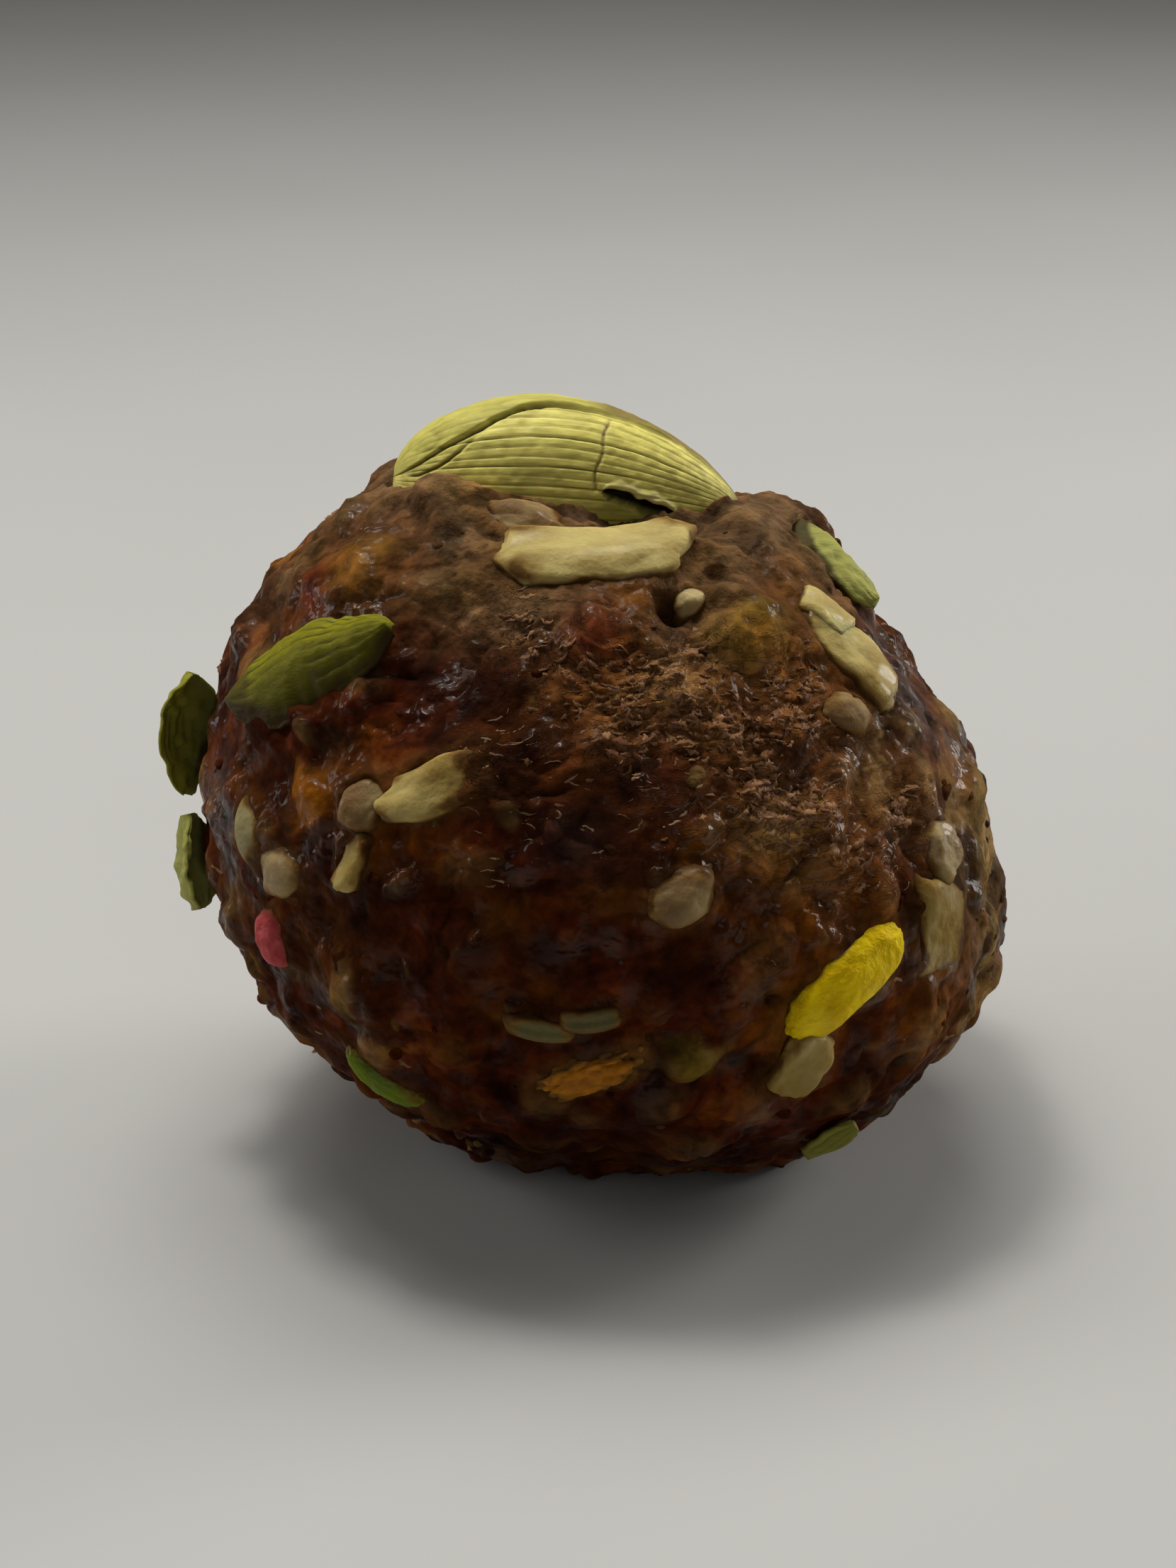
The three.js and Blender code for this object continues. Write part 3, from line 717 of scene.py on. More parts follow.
def piece_skirts(directions, radius):
    """How high the paste laps round the pieces, how free its own form is there, and how near one it is."""
    height, near = np.zeros((2, len(directions)))
    free = np.ones(len(directions))
    uneven = 0.16 * ball_noise(directions, 1.2, 91) + 0.1 * ball_noise(directions, 0.5, 92)
    for kind, *oval, _ in PIECES:
        if kind == "fruit":
            continue
        close, outside = oval_distance(directions, radius, *oval)
        most = SKIRT_SHARES.get(kind, LEAST_SKIRT_SHARE) * KIND_SIZES[kind][2]
        skirt = most * ramp(outside, 0.5, 0.9) * (1 - ramp(outside, 0.9, 1.5))
        dip = DIP_UNDER_PIECES * (1 - ramp(outside, 0.3, 0.8))
        height[close] = np.maximum(height[close], skirt) - dip
        free[close] = np.minimum(free[close], ramp(outside, 0.6, 1.3))
        raise_to(near, close, ramp(outside, 0.6, 0.9) * (1 - ramp(outside, 1.0, 1.6)))
    return height + uneven * near, free, near


def tuck_height(directions, radius):
    """How high the paste laps over the lower side of the husks that are tucked into it."""
    height = np.zeros(len(directions))
    for husk in HUSKS:
        if not husk["tuck"]:
            continue
        axes, place = husk_frame(husk)
        close = np.flatnonzero(directions @ direction_at(husk["lon"], husk["lat"]) > NEAR_COSINE)
        local = (directions[close] * radius[close, None] - place) @ axes.T
        off_middle = np.clip(2 * local[:, 0] / husk["long"], -1, 1)
        below = -local[:, 1] / husk_half_width(husk, off_middle)
        reach = ramp(below, 1 - 2 * husk["tuck"], 1) * (1 - ramp(below, 1.1, 2.2)) * (1 - off_middle**6)
        height[close] = TUCK_HEIGHT * reach
    return height * (1 + 0.5 * ball_noise(directions, 1.3, 97))


def above_floor(directions, radius):
    """radius, cut back to the flat spot that the ladoo rests on."""
    floor = CENTRE_HEIGHT / np.maximum(-directions[:, 2], 1e-6)
    return np.where(directions[:, 2] < 0, np.minimum(radius, floor), radius)


def paste_surface(directions):
    """Points of the paste's surface, and masks for its colours and finish."""
    smooth = ball_radius(directions)
    fibrous = fibrous_share(directions)
    dry = dry_share(directions)
    dark, grey_skin_and_sheen, red_skin = (patch_share(directions, name) for name in ("dark", "grey_skin_and_sheen", "red_skin"))
    fruit, amber, olive = fruit_relief(directions, smooth)
    amber = np.maximum(amber, patch_share(directions, "amber"))
    fruity = np.maximum(np.maximum(amber, olive), red_skin)
    rise, painted_crease_shade, chunk = paste_relief(directions * smooth[:, None], fibrous, dry, fruity)
    covered, pale = coated_relief(directions, smooth)
    lapped, free, near = piece_skirts(directions, smooth)
    own_form = rise + np.maximum(covered, fruit) - hollow_depth(directions)
    radius = smooth + own_form * free + lapped + tuck_height(directions, smooth)
    radius = above_floor(directions, below_pod(directions, radius))
    matt = np.maximum(np.maximum(dry, 0.8 * fibrous) * (1 - 0.7 * fruity), 0.95 * dark)
    pale_chunks = patch_share(directions, "pale") * (0.25 + ramp(chunk, 0.35, 0.65))
    masks = {
        "painted_crease_shade": painted_crease_shade * free,
        "chunk": chunk,
        "fibrous": fibrous,
        "pale": np.clip(np.maximum(pale, pale_chunks), 0, 1),
        "olive": olive,
        "amber": amber,
        "near": near,
        "red_skin": red_skin,
        "grey_skin_and_sheen": grey_skin_and_sheen,
        "dark": dark,
        "dry": dry,
        "wet": np.maximum((1 - matt) * (0.55 + 0.45 * ramp(directions[:, 2], -0.4, 0.3)), grey_skin_and_sheen),
    }
    return below_husks(directions * radius[:, None]), masks


# Meshes

@functools.lru_cache
def geodesic(frequency):
    """Directions and triangles of a ball whose icosahedron edges are cut into frequency parts."""
    golden = (1 + math.sqrt(5)) / 2
    corners = []
    for a, b in itertools.product((-1, 1), (-golden, golden)):
        corners += [(a, b, 0), (0, a, b), (b, 0, a)]
    corners = unit(np.array(corners, float))
    edge = np.linalg.norm(corners[:, None] - corners[None], axis=2)
    joined = (edge > 0.1) & (edge < 1.2)
    points = []
    faces = []
    for i, j, k in itertools.combinations(range(12), 3):
        if not (joined[i, j] and joined[j, k] and joined[i, k]):
            continue
        if np.linalg.det(corners[[i, j, k]]) < 0:
            j, k = k, j
        rows = {}
        for u in range(frequency + 1):
            for v in range(frequency + 1 - u):
                rows[u, v] = len(points)
                spot = corners[i] * (frequency - u - v) + corners[j] * u + corners[k] * v
                points.append(spot / frequency)
        for u in range(frequency):
            for v in range(frequency - u):
                faces.append((rows[u, v], rows[u + 1, v], rows[u, v + 1]))
                if u + v < frequency - 1:
                    faces.append((rows[u + 1, v], rows[u + 1, v + 1], rows[u, v + 1]))
    directions = unit(np.array(points))
    _, first, owner = np.unique(np.round(directions * 1e5), axis=0, return_index=True, return_inverse=True)
    return directions[first], owner.reshape(-1)[np.array(faces)]


def make_piece(name, points, faces, material, masks, node=None):
    """A smooth mesh of points in millimetres about the ball's centre, riding on the ladoo."""
    mesh = bpy.data.meshes.new(name)
    placed = (points + np.array([0, 0, CENTRE_HEIGHT])) * MM
    mesh.from_pydata(placed.tolist(), [], faces.tolist())
    for mask, values in masks.items():
        attribute = mesh.attributes.new(mask, "FLOAT", "POINT")
        attribute.data.foreach_set("value", np.asarray(values, np.float32))
    mesh.polygons.foreach_set("use_smooth", np.ones(len(faces), bool))
    mesh.materials.append(material)
    piece = bpy.data.objects.new(name, mesh)
    bpy.context.scene.collection.objects.link(piece)
    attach(piece, "root")
    if node:
        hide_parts(node)


class Gathered:
    """Many small shapes gathered into one mesh."""

    def __init__(self):
        self.points = []
        self.faces = []
        self.masks = {}
        self.count = 0

    def add(self, points, faces, **masks):
        self.points.append(points)
        self.faces.append(faces + self.count)
        for name, values in masks.items():
            self.masks.setdefault(name, []).append(np.broadcast_to(values, len(points)))
        self.count += len(points)

    def make(self, name, material):
        masks = {mask: np.concatenate(values) for mask, values in self.masks.items()}
        make_piece(name, np.concatenate(self.points), np.concatenate(self.faces), material, masks)


def finer_front(directions):
    """The same directions drawn together towards the front, so that the mesh is finer there."""
    front = direction_at(0, FRONT_LAT_DEG)
    along = directions @ front
    angle = 2 * np.arctan2(np.sqrt(1 - np.minimum(along, 1)), np.sqrt(1 + along) * FRONT_FINENESS)
    aside = directions - along[:, None] * front
    length = np.maximum(np.linalg.norm(aside, axis=1, keepdims=True), THINNEST)
    return unit(np.cos(angle)[:, None] * front + np.sin(angle)[:, None] * aside / length)


def make_paste(material):
    directions, faces = geodesic(PASTE_FREQUENCY)
    points, masks = paste_surface(finer_front(directions))
    make_piece("date_paste", points, faces, material, masks, node="ladoo")


# Shapes of the pieces in the paste, each inside a ball of radius 1 before it is stretched

def filled(shape):
    """The shape, stretched to fill -1 to 1 along each axis."""
    low = shape.min(axis=0)
    high = shape.max(axis=0)
    return (shape - (low + high) / 2) / ((high - low) / 2)


def own_shift(rng):
    """How far the noise is moved for one piece, so that no two are alike."""
    return rng.uniform(0, 50)


def chopped_shape(directions, rng, cuts, sharpness):
    """A nut chopped by a few knife cuts, its edges a little rounded."""
    normals = unit(rng.normal(size=(cuts, 3)))
    offsets = rng.uniform(0.62, 0.95, cuts)
    reach = np.minimum(offsets / np.maximum(directions @ normals.T, 0.02), 3)
    ball = np.full((len(directions), 1), 1.0)
    softest = -np.log(np.exp(-sharpness * np.hstack([reach, ball])).sum(axis=1)) / sharpness
    return filled(directions * softest[:, None])


def blunted(shape, bluntness):
    """The shape with fuller ends and sides."""
    largest = np.maximum(np.abs(shape).max(axis=1, keepdims=True), 0.2)
    return filled(shape * (np.linalg.norm(shape, axis=1, keepdims=True) / largest) ** bluntness)


def roughened(shape, shift, amount):
    """The shape with dents, chips and a rough face."""
    spots = shape + shift
    chips = ridges(spots, 0.6, 7)
    uneven = 0.13 * noise(spots, 0.85, 3) + 0.06 * noise(spots, 0.38, 4) + 0.03 * noise(spots, 0.19, 6)
    return filled(shape * (1 + amount * (uneven - 0.08 * chips**5))[:, None])


def almond_shape(directions, rng):
    shape = blunted(chopped_shape(directions, rng, 6, 8), 0.45)
    return roughened(shape, own_shift(rng), 0.65)


def cashew_shape(directions, rng):
    shape = chopped_shape(directions, rng, 7, 10)
    return roughened(shape, own_shift(rng), 0.9)


def spindle_shape(directions, sharp):
    """A seed with drawn-out ends."""
    shape = directions.copy()
    taper = 1 - sharp * np.abs(directions[:, 0]) ** 2.5
    shape[:, 1:] *= taper[:, None]
    return shape


def candy_shape(directions, rng):
    """A seed under an uneven crust of sugar."""
    spots = directions + own_shift(rng)
    shape = spindle_shape(blunted(directions, 0.25), 0.1)
    crust = 0.06 * noise(spots, 0.42, 14) + 0.035 * noise(spots, 0.2, 15) + 0.02 * noise(spots, 0.11, 16)
    return shape * (1 + crust)[:, None]


def melon_seed_shape(directions, rng):
    """A flat seed, wider towards one end; it is the same for each, so nothing is drawn."""
    shape = spindle_shape(directions, 0.2)
    shape[:, 1] *= 1 - 0.25 * shape[:, 0]
    return shape


def fennel_seed_shape(directions, rng):
    """A broken seed: blunt ends and a few ribs along it."""
    blunt = blunted(directions, 0.45)
    angle = np.arctan2(directions[:, 2], directions[:, 1])
    blunt[:, 1:] *= (1 + 0.06 * np.cos(7 * angle))[:, None]
    return filled(blunt * (1 + 0.08 * noise(directions + own_shift(rng), 0.8, 5))[:, None])


def flake_shape(directions, rng):
    """A crumbly flake of many grains."""
    spots = directions + own_shift(rng)
    near, next_near, draw = cells(spots, 0.45, 19)
    crumbly = 0.22 * (draw - 0.5) - 0.18 * np.exp(-(next_near - near) / 0.12)
    shape = directions * (0.95 + crumbly + 0.08 * noise(spots, 0.2, 20))[:, None]
    shape[:, 1] += 0.15 * noise(spots, 0.8, 21)
    return shape


SHAPES = {
    "almond": almond_shape,
    "cashew": cashew_shape,
    "melon_seed": melon_seed_shape,
    "fennel_seed": fennel_seed_shape,
    "fennel_pink": candy_shape,
    "fennel_yellow": candy_shape,
    "fennel_green": candy_shape,
    "flake": flake_shape,
}
CANDIES = ("fennel_pink", "fennel_yellow", "fennel_green")
PIECE_SEED = 900

# Kinds whose length curves, the longer the more
BENDS = dict(almond=0.010, fennel_yellow=-0.004, fennel_green=0.011, fennel_seed=0.013, melon_seed=0.006)

# A piece longer than the first length has a finer mesh, and one longer than the second stands out further
BIG_PIECE = 3.3
THICKER_FROM = 8.0
THICKER = 1.2
FINE_FREQUENCY = 14
COARSE_FREQUENCY = 10

# How deep pieces are sunk, how much wider they are in the paste, and how far up it is smeared on them
SUNK = 0.45
BEDDED = 1.12
SMEAR_HEIGHT = 0.42
CANDY_SMEAR_HEIGHT = 0.16

# How far from a piece's middle the smear starts, its edge being at 1
SMEAR_FROM = dict(almond=0.84, fennel_pink=0.9, fennel_yellow=1.0, fennel_green=0.8)
LEAST_SMEAR_FROM = 0.6
SMEAR_REACH = 0.6


def smear_by_height(points, height=SMEAR_HEIGHT):
    """How much paste is smeared on each point, from 0 to 1: all of it at the paste, none well above."""
    reach = np.linalg.norm(points, axis=1)
    directions = points / reach[:, None]
    bare = ball_radius(directions)
    lapped, _, _ = piece_skirts(directions, bare)
    uneven = 0.35 * noise(points, 0.9, 81) + 0.25 * noise(points, 0.35, 82)
    return 1 - ramp((reach - bare - lapped) / height + uneven, 0, 1)


def smear_by_edge(points, outside, smear_from):
    """How much paste is smeared towards the uneven edge of a piece, where outside is 1."""
    uneven = 0.28 * noise(points, 1.0, 83) + 0.14 * noise(points, 0.4, 84)
    return ramp(outside + uneven, smear_from, smear_from + SMEAR_REACH)


def add_piece(gathered, index, kind, direction, long, wide, turn, tint):
    """A piece of the given kind, set in the paste, with its tint and smear."""
    rng = np.random.default_rng(PIECE_SEED + index)
    directions, faces = geodesic(FINE_FREQUENCY if long > BIG_PIECE else COARSE_FREQUENCY)
    proud = KIND_SIZES[kind][2] * (THICKER if long > THICKER_FROM else 1)
    unit_shape = SHAPES[kind](directions, rng)
    candy = kind in CANDIES
    bedded = 1 if candy else BEDDED
    ends = 1 if long > THICKER_FROM else bedded
    shape = unit_shape * np.array([ends * long / 2, bedded * wide / 2, proud + SUNK])
    bend = BENDS.get(kind, 0) * long**2
    shape[:, 1] += bend * (4 * (shape[:, 0] / long) ** 2 - 0.4)
    axes, place = frame_on(direction, turn, -SUNK)
    points = shape @ axes + place
    outside = bedded * np.hypot(unit_shape[:, 0], unit_shape[:, 1])
    edge = smear_by_edge(points, outside, SMEAR_FROM.get(kind, LEAST_SMEAR_FROM))
    low = smear_by_height(points, CANDY_SMEAR_HEIGHT if candy else SMEAR_HEIGHT)
    gathered.add(points, faces, tint=tint, smear=np.maximum(edge, low))


def make_pieces(kind, name, material):
    """One mesh of every piece of a kind."""
    gathered = Gathered()
    for index, piece in enumerate(PIECES):
        if piece[0] == kind:
            add_piece(gathered, index, *piece)
    gathered.make(name, material)


# The pod

POD_ROWS = 180
POD_COLUMNS = 300
POD_END_SHARE = 0.004
POD_FINE_RIBS = 46
POD_CRACK_SHARE = 0.555
TEAR_FROM_SHARE = 0.585
TEAR_TO_SHARE = 0.91
TEAR_FROM_DEG = 7
TEAR_TO_DEG = -22
TEAR_HALF_DEG = 8.5
TEAR_DEPTH = 1.1


def tube_faces(rows, columns):
    """Triangles of a closed tube of rows of points, and of the two end points that follow them."""
    row, column = np.meshgrid(np.arange(rows - 1), np.arange(columns), indexing="ij")
    a = (row * columns + column).ravel()
    b = (row * columns + (column + 1) % columns).ravel()
    sides = np.concatenate([np.stack([a, a + columns, b + columns], 1), np.stack([a, b + columns, b], 1)])
    ring = np.arange(columns)
    following = (ring + 1) % columns
    last = (rows - 1) * columns
    start = np.stack([np.full(columns, rows * columns), ring, following], 1)
    end = np.stack([np.full(columns, rows * columns + 1), last + following, last + ring], 1)
    return np.concatenate([sides, start, end])


def with_ends(grid):
    """Rows of points, followed by the middle of the first row and of the last."""
    flat = grid.reshape(-1, grid.shape[-1])
    return np.concatenate([flat, grid[:1].mean(axis=1), grid[-1:].mean(axis=1)])


def masks_with_ends(masks, rows, columns):
    return {name: with_ends(values.reshape(rows, columns, 1))[:, 0] for name, values in masks.items()}


def pod_smooth(share, angle, relief):
    """Points of the pod in its own frame, angle running from its front over its top."""
    reach = pod_swell(share) * pod_section(angle)
    wide = reach * POD_HALF_WIDTH + relief
    thick = reach * POD_HALF_THICKNESS + relief
    along = (share - 0.5) * POD_LENGTH
    return np.stack([along, -np.cos(angle) * wide, np.sin(angle) * thick - pod_sag(share)], axis=1)


def pod_flap(share, angle_deg, spots):
    """The overlapping flap, the gap below its edge, and the fold at its left end."""
    climbing = np.clip(1 - share / 0.42, 0, 1) ** 1.4
    edge = POD_FLAP_FROM_DEG - 52 * climbing + 3 * noise(spots, 2.4, 201)
    above = angle_deg - edge
    flap = ramp(above, 0, 2.5) * (1 - ramp(angle_deg, POD_FLAP_TO_DEG - 5, POD_FLAP_TO_DEG))
    gap = np.exp(-((above + 1.0) / 1.6) ** 2) * (1 - ramp(share, 0.35, 0.8))
    fold_edge = edge - 14 * ramp(share, 0.0, 0.08) * (1 - ramp(share, 0.12, 0.26))
    fold = np.exp(-((angle_deg - fold_edge + 3) / 2.0) ** 2) * ramp(share, 0.03, 0.07)
    return flap, gap, fold * (1 - ramp(share, 0.15, 0.24))


def pod_grooves(angle_deg, spots):
    """Grooves between the fine ribs, some deeper than others."""
    rib = angle_deg / 360 * POD_FINE_RIBS + 0.30 * noise(drawn_out(spots, 0.22), 1.5, 203)
    which = np.round(rib)
    depth = 0.7 + 0.3 * np.sin(which * 2.4) + 0.25 * noise(spots, 1.8, 202)
    return np.exp(-((rib - which) / 0.085) ** 2) * depth


def pod_crack(share, angle_deg, spots):
    """A thin crack across the ribs."""
    split = POD_CRACK_SHARE + 0.0004 * angle_deg + 0.004 * np.sin(angle_deg / 5)
    split = split + 0.005 * noise(spots, 1.1, 207)
    crack = np.exp(-((share - split) * POD_LENGTH / 0.08) ** 2)
    return crack * (ramp(angle_deg, 4, 12) * (1 - ramp(angle_deg, 64, 74)))


def pod_tear(share, angle_deg, spots):
    """The torn opening near the right end, its raised lip, and the wall below it, greener and darker with
    painted shade.
    """
    part = (share - TEAR_FROM_SHARE) / (TEAR_TO_SHARE - TEAR_FROM_SHARE)
    within = (part > 0) & (part < 1)
    middle = TEAR_FROM_DEG + (TEAR_TO_DEG - TEAR_FROM_DEG) * part
    half = TEAR_HALF_DEG * np.sin(np.pi * np.clip(part, 0, 1) ** 0.7) ** 0.6
    half = half * (1 + 0.5 * noise(spots, 0.45, 205))
    off_tear = (angle_deg - middle) / np.maximum(half, 0.05)
    tear = (1 - ramp(np.abs(off_tear), 0.65, 1.0)) * within
    lip = np.exp(-((off_tear - 1.5) / 0.45) ** 2) * within
    below = ramp(part, -0.25, 0.1) * (1 - ramp(part, 0.8, 1.05)) * (1 - ramp(angle_deg - middle, -9, -3))
    return tear, lip, below


def pod_relief(share, angle_deg, spots):
    """How far each spot stands off the smooth pod, and the masks of its colours and of its painted shade."""
    flap, gap, fold = pod_flap(share, angle_deg, spots)
    groove = pod_grooves(angle_deg, spots)
    crack = pod_crack(share, angle_deg, spots)
    tear, lip, below = pod_tear(share, angle_deg, spots)
    on_valve = 1 - 0.35 * flap
    crinkle = ridges(drawn_out(spots, 0.12), 1.3, 210)
    crumple = 0.06 * noise(drawn_out(spots, 0.5), 0.9, 209) * (0.5 + flap) - 0.12 * flap * crinkle**6
    crumple += 0.03 * noise(spots, 0.35, 211)
    rise = 0.6 * POD_FLAP_STEP * flap - 0.11 * groove * on_valve - 0.22 * gap - 0.2 * fold + crumple
    rise += 0.14 * lip - TEAR_DEPTH * tear - 0.14 * crack
    full = np.clip(pod_swell(share) * 1.6 - 0.2, 0, 1)
    tip = ramp(share + 0.012 * noise(spots, 0.8, 213), 0.945, 0.985)
    # Painted shade on the back flap's edge
    shaded_back_edge = ramp(angle_deg, 72, 80) * (1 - ramp(angle_deg + 8 * noise(spots, 1.2, 215), 98, 112))
    masks = {
        # Painted shade in the grooves, under the flap's edge, in the fold and in the flap's crinkles
        "groove": np.clip(groove * on_valve + gap + fold + 0.4 * flap * crinkle**8, 0, 1),
        "flap": flap * (0.65 + 0.35 * ramp(angle_deg, 105, 135)),
        "brown": np.clip(crack + tip + 0.9 * shaded_back_edge * ramp(share, 0.5, 0.6) * flap, 0, 1),
        # Painted shade, nearly black, in the torn opening, and some in the gap and the fold
        "tear": np.clip(tear + 0.35 * gap + 0.35 * fold, 0, 1),
        "lip": lip,
        "below": below,
    }
    return rise * full, masks


def make_pod(material):
    shares = np.linspace(POD_END_SHARE, 1 - POD_END_SHARE, POD_ROWS)
    angles_deg = np.linspace(-90, 270, POD_COLUMNS, endpoint=False)
    share, angle_deg = (grid.ravel() for grid in np.meshgrid(shares, angles_deg, indexing="ij"))
    angle = np.radians(angle_deg)
    relief, masks = pod_relief(share, angle_deg, pod_smooth(share, angle, 0))
    local = pod_smooth(share, angle, relief).reshape(POD_ROWS, POD_COLUMNS, 3)
    points = with_ends(local) @ POD_AXES + POD_PLACE
    masks = masks_with_ends(masks, POD_ROWS, POD_COLUMNS)
    faces = tube_faces(POD_ROWS, POD_COLUMNS)
    make_piece("cardamom_pod_ribbed", points, faces, material, masks, node="cardamom_pod")


# Husks

HUSK_ROWS = 110
HUSK_COLUMNS = 44
HUSK_RIBS = 7
HUSK_NOISE_STEP = 20.0


def husk_spread():
    """Share along, side across and face of a husk's points, over its outer face and back under it."""
    share = np.linspace(0, 1, HUSK_ROWS)[:, None]
    side = np.sin(np.linspace(-1, 1, HUSK_COLUMNS) * math.pi / 2)
    side = np.concatenate([side, side[::-1]])
    face = np.repeat([1.0, -1.0], HUSK_COLUMNS)
    return [np.broadcast_to(v, (HUSK_ROWS, 2 * HUSK_COLUMNS)).ravel() for v in (share, side, face)]


def make_husk(husk, number, material):
    """A torn, ribbed husk with an uneven edge, thinner towards it."""
    share, side, face = husk_spread()
    x = (share - 0.5) * husk["long"]
    apart = np.full(len(x), number * HUSK_NOISE_STEP)
    flat = np.stack([x, np.sign(side) * 3, apart], axis=1)
    torn = 1 + 0.12 * noise(flat, 1.7, 221) + 0.06 * noise(flat, 0.5, 222)
    torn = torn - husk["taper"] * (2 * share - 1)
    half = husk_half_width(husk, 2 * share - 1)
    y = side * half * torn
    spots = np.stack([x, y, apart], axis=1)
    rib = side * HUSK_RIBS / 2 + 0.35 * noise(drawn_out(spots, 0.3), 1.4, 223)
    groove = np.exp(-((rib - np.round(rib)) / 0.14) ** 2) * ramp(noise(spots, 1.6, 224), -0.4, 0.4)
    crumple = noise(drawn_out(spots, 0.6), 1.5, 225) + 0.35 * noise(spots, 0.5, 227)
    thickness = HUSK_THICKNESS * (1 - 0.6 * np.abs(side) ** 3)
    rise = husk_rise(husk, x, side * half) + crumple * husk["crumple"] - 0.1 * groove + face * thickness / 2
    axes, place = husk_frame(husk)
    grid = np.stack([x, y, rise], axis=1).reshape(HUSK_ROWS, 2 * HUSK_COLUMNS, 3)
    points = with_ends(grid) @ axes + place
    # The tucked husk's smear: paste on its lower margin, and painted shade darkening its lower end
    margin = ramp(-side + 0.35 * noise(spots, 0.9, 228), 0.3, 0.9)
    shaded_lower_end = ramp(1 - 2 * share + 0.2 * noise(spots, 0.9, 229), 0.55, 1.0)
    masks = {
        "groove": groove,
        "edge": ramp(np.abs(side), 0.8, 1.0),
        # Painted shade: each husk's lower side darker
        "painted_low_side_shade": ramp(-side, -0.6, 0.8),
        "smear": np.maximum(margin, 0.8 * shaded_lower_end) * bool(husk["tuck"]),
    }
    masks = masks_with_ends(masks, HUSK_ROWS, 2 * HUSK_COLUMNS)
    masks["smear"] = np.maximum(smear_by_height(points), masks["smear"])
    masks["paleness"] = np.full(len(points), husk["paleness"])
    faces = tube_faces(HUSK_ROWS, 2 * HUSK_COLUMNS)
    name = husk["name"] + "_torn"
    make_piece(name, points, faces, material, masks, node=husk["name"])


# Crumbs, shreds and wisps on the paste; some pale wisps stand in for glints, as painted highlights

CRUMB_SEED = 417
CRUMB_COUNT = 200
CRUMB_FREQUENCY = 5
CRUMB_LEAST_SIZE = 0.25
CRUMB_MORE_SIZE = 0.5
CRUMB_SUNK = 0.7
SHREDS = dict(
    seed=515, count=2200, stride=0.045, more_stride=0.09, thick=0.055, more_thick=0.07,
    heading=0.35, tilt=0.4, wide=2.3)
WISPS = dict(
    seed=531, count=120, stride=0.06, more_stride=0.14, thick=0.03, more_thick=0.04,
    heading=0.35, tilt=0.15, wide=1.7)
SHRED_STEPS = 9
SHRED_SIDES = 4
SHRED_FLATNESS = 0.6
SHRED_SUNK = 0.6
LOWEST_Z = -0.76

# How far out from the ball the pod is looked for, and how wide a margin is kept round it
POD_LOOK_OUT = 0.6
POD_MARGIN = 0.5


def clear_of_pieces(directions):
    """1 where the paste is bare, 0 where a nut, seed, husk or the pod lies."""
    radius = ball_radius(directions)
    bare = np.ones(len(directions))
    ovals = [(*oval, 0.95, 1.25) for _, *oval, _ in PIECES]
    for husk in HUSKS:
        direction = direction_at(husk["lon"], husk["lat"])
        ovals.append((direction, husk["long"], husk["wide"], husk["turn"], 0.9, 1.15))
    for *oval, covered_to, bare_from in ovals:
        close, outside = oval_distance(directions, radius, *oval)
        bare[close] *= ramp(outside, covered_to, bare_from)
    bare[inside_pod(directions * (radius[:, None] + POD_LOOK_OUT), POD_MARGIN)] = 0
    return bare


def scattered(rng, count, weight):
    """count random directions on bare paste above the foot, kept in proportion to weight."""
    found = np.zeros((0, 3))
    while len(found) < count:
        directions = unit(rng.normal(size=(4 * count, 3)))
        chance = clear_of_pieces(directions) * weight(directions)
        keep = (rng.uniform(size=len(directions)) < chance) & (directions[:, 2] > LOWEST_Z)
        found = np.concatenate([found, directions[keep]])
    return found[:count]


def crumb_weight(directions):
    return 1 - ramp(fibrous_share(directions), 0.1, 0.4)


def shred_weight(directions):
    dark = patch_share(directions, "dark")
    red = patch_share(directions, "red_skin")
    return (0.002 + fibrous_share(directions) ** 2) * (1 - 0.8 * dark) * (1 - 0.8 * red)


def wisp_weight(directions):
    return patch_share(directions, "wisps_and_glints")


def make_crumbs(material):
    rng = np.random.default_rng(CRUMB_SEED)
    shape, faces = geodesic(CRUMB_FREQUENCY)
    places, masks = paste_surface(scattered(rng, CRUMB_COUNT, crumb_weight))
    gathered = Gathered()
    for index, place in enumerate(places):
        size = CRUMB_LEAST_SIZE + CRUMB_MORE_SIZE * rng.uniform() ** 2
        crumb = chopped_shape(shape, rng, 8, 10) * rng.uniform(0.6, 1.2, 3) * size
        crumb *= 1 + 0.2 * noise(crumb + 3.0 * index, 0.35, 301)[:, None]
        turn = np.linalg.qr(rng.normal(size=(3, 3)))[0]
        turn *= np.linalg.det(turn)
        points = crumb @ turn + place * (1 - CRUMB_SUNK * size / HALF_DEPTH)
        own = {name: masks[name][index] for name in ("amber", "dry", "dark")}
        gathered.add(points, faces, pale=rng.uniform() ** 4, **own)
    gathered.make("paste_crumbs", material)


def shred_paths(rng, rule, weight):
    """Directions along each shred, most of them level, wavering as they go."""
    count = rule["count"]
    path = [scattered(rng, count, weight)]
    heading = rng.normal(0, rule["heading"], count)
    bend = rng.normal(0, 0.12, count)
    wave = rng.uniform(0, 6.28, count)
    stride = rule["stride"] + rule["more_stride"] * rng.uniform(size=count) ** 2
    for step in range(SHRED_STEPS - 1):
        here = path[-1]
        level = unit(np.cross([0, 0, 1], here))
        angle = heading + bend * step + 0.55 * np.sin(1.9 * step + wave)
        ahead = level * np.cos(angle)[:, None] + np.cross(here, level) * np.sin(angle)[:, None]
        path.append(unit(here + ahead * (stride / HALF_DEPTH)[:, None]))
    return np.stack(path, axis=1)


def smoothed_places(path):
    """Points of the paste along each path, each drawn towards its neighbours."""
    places, _ = paste_surface(path.reshape(-1, 3))
    places = places.reshape(path.shape)
    smoothed = places.copy()
    smoothed[:, 1:-1] = (places[:, :-2] + 2 * places[:, 1:-1] + places[:, 2:]) / 4
    return smoothed


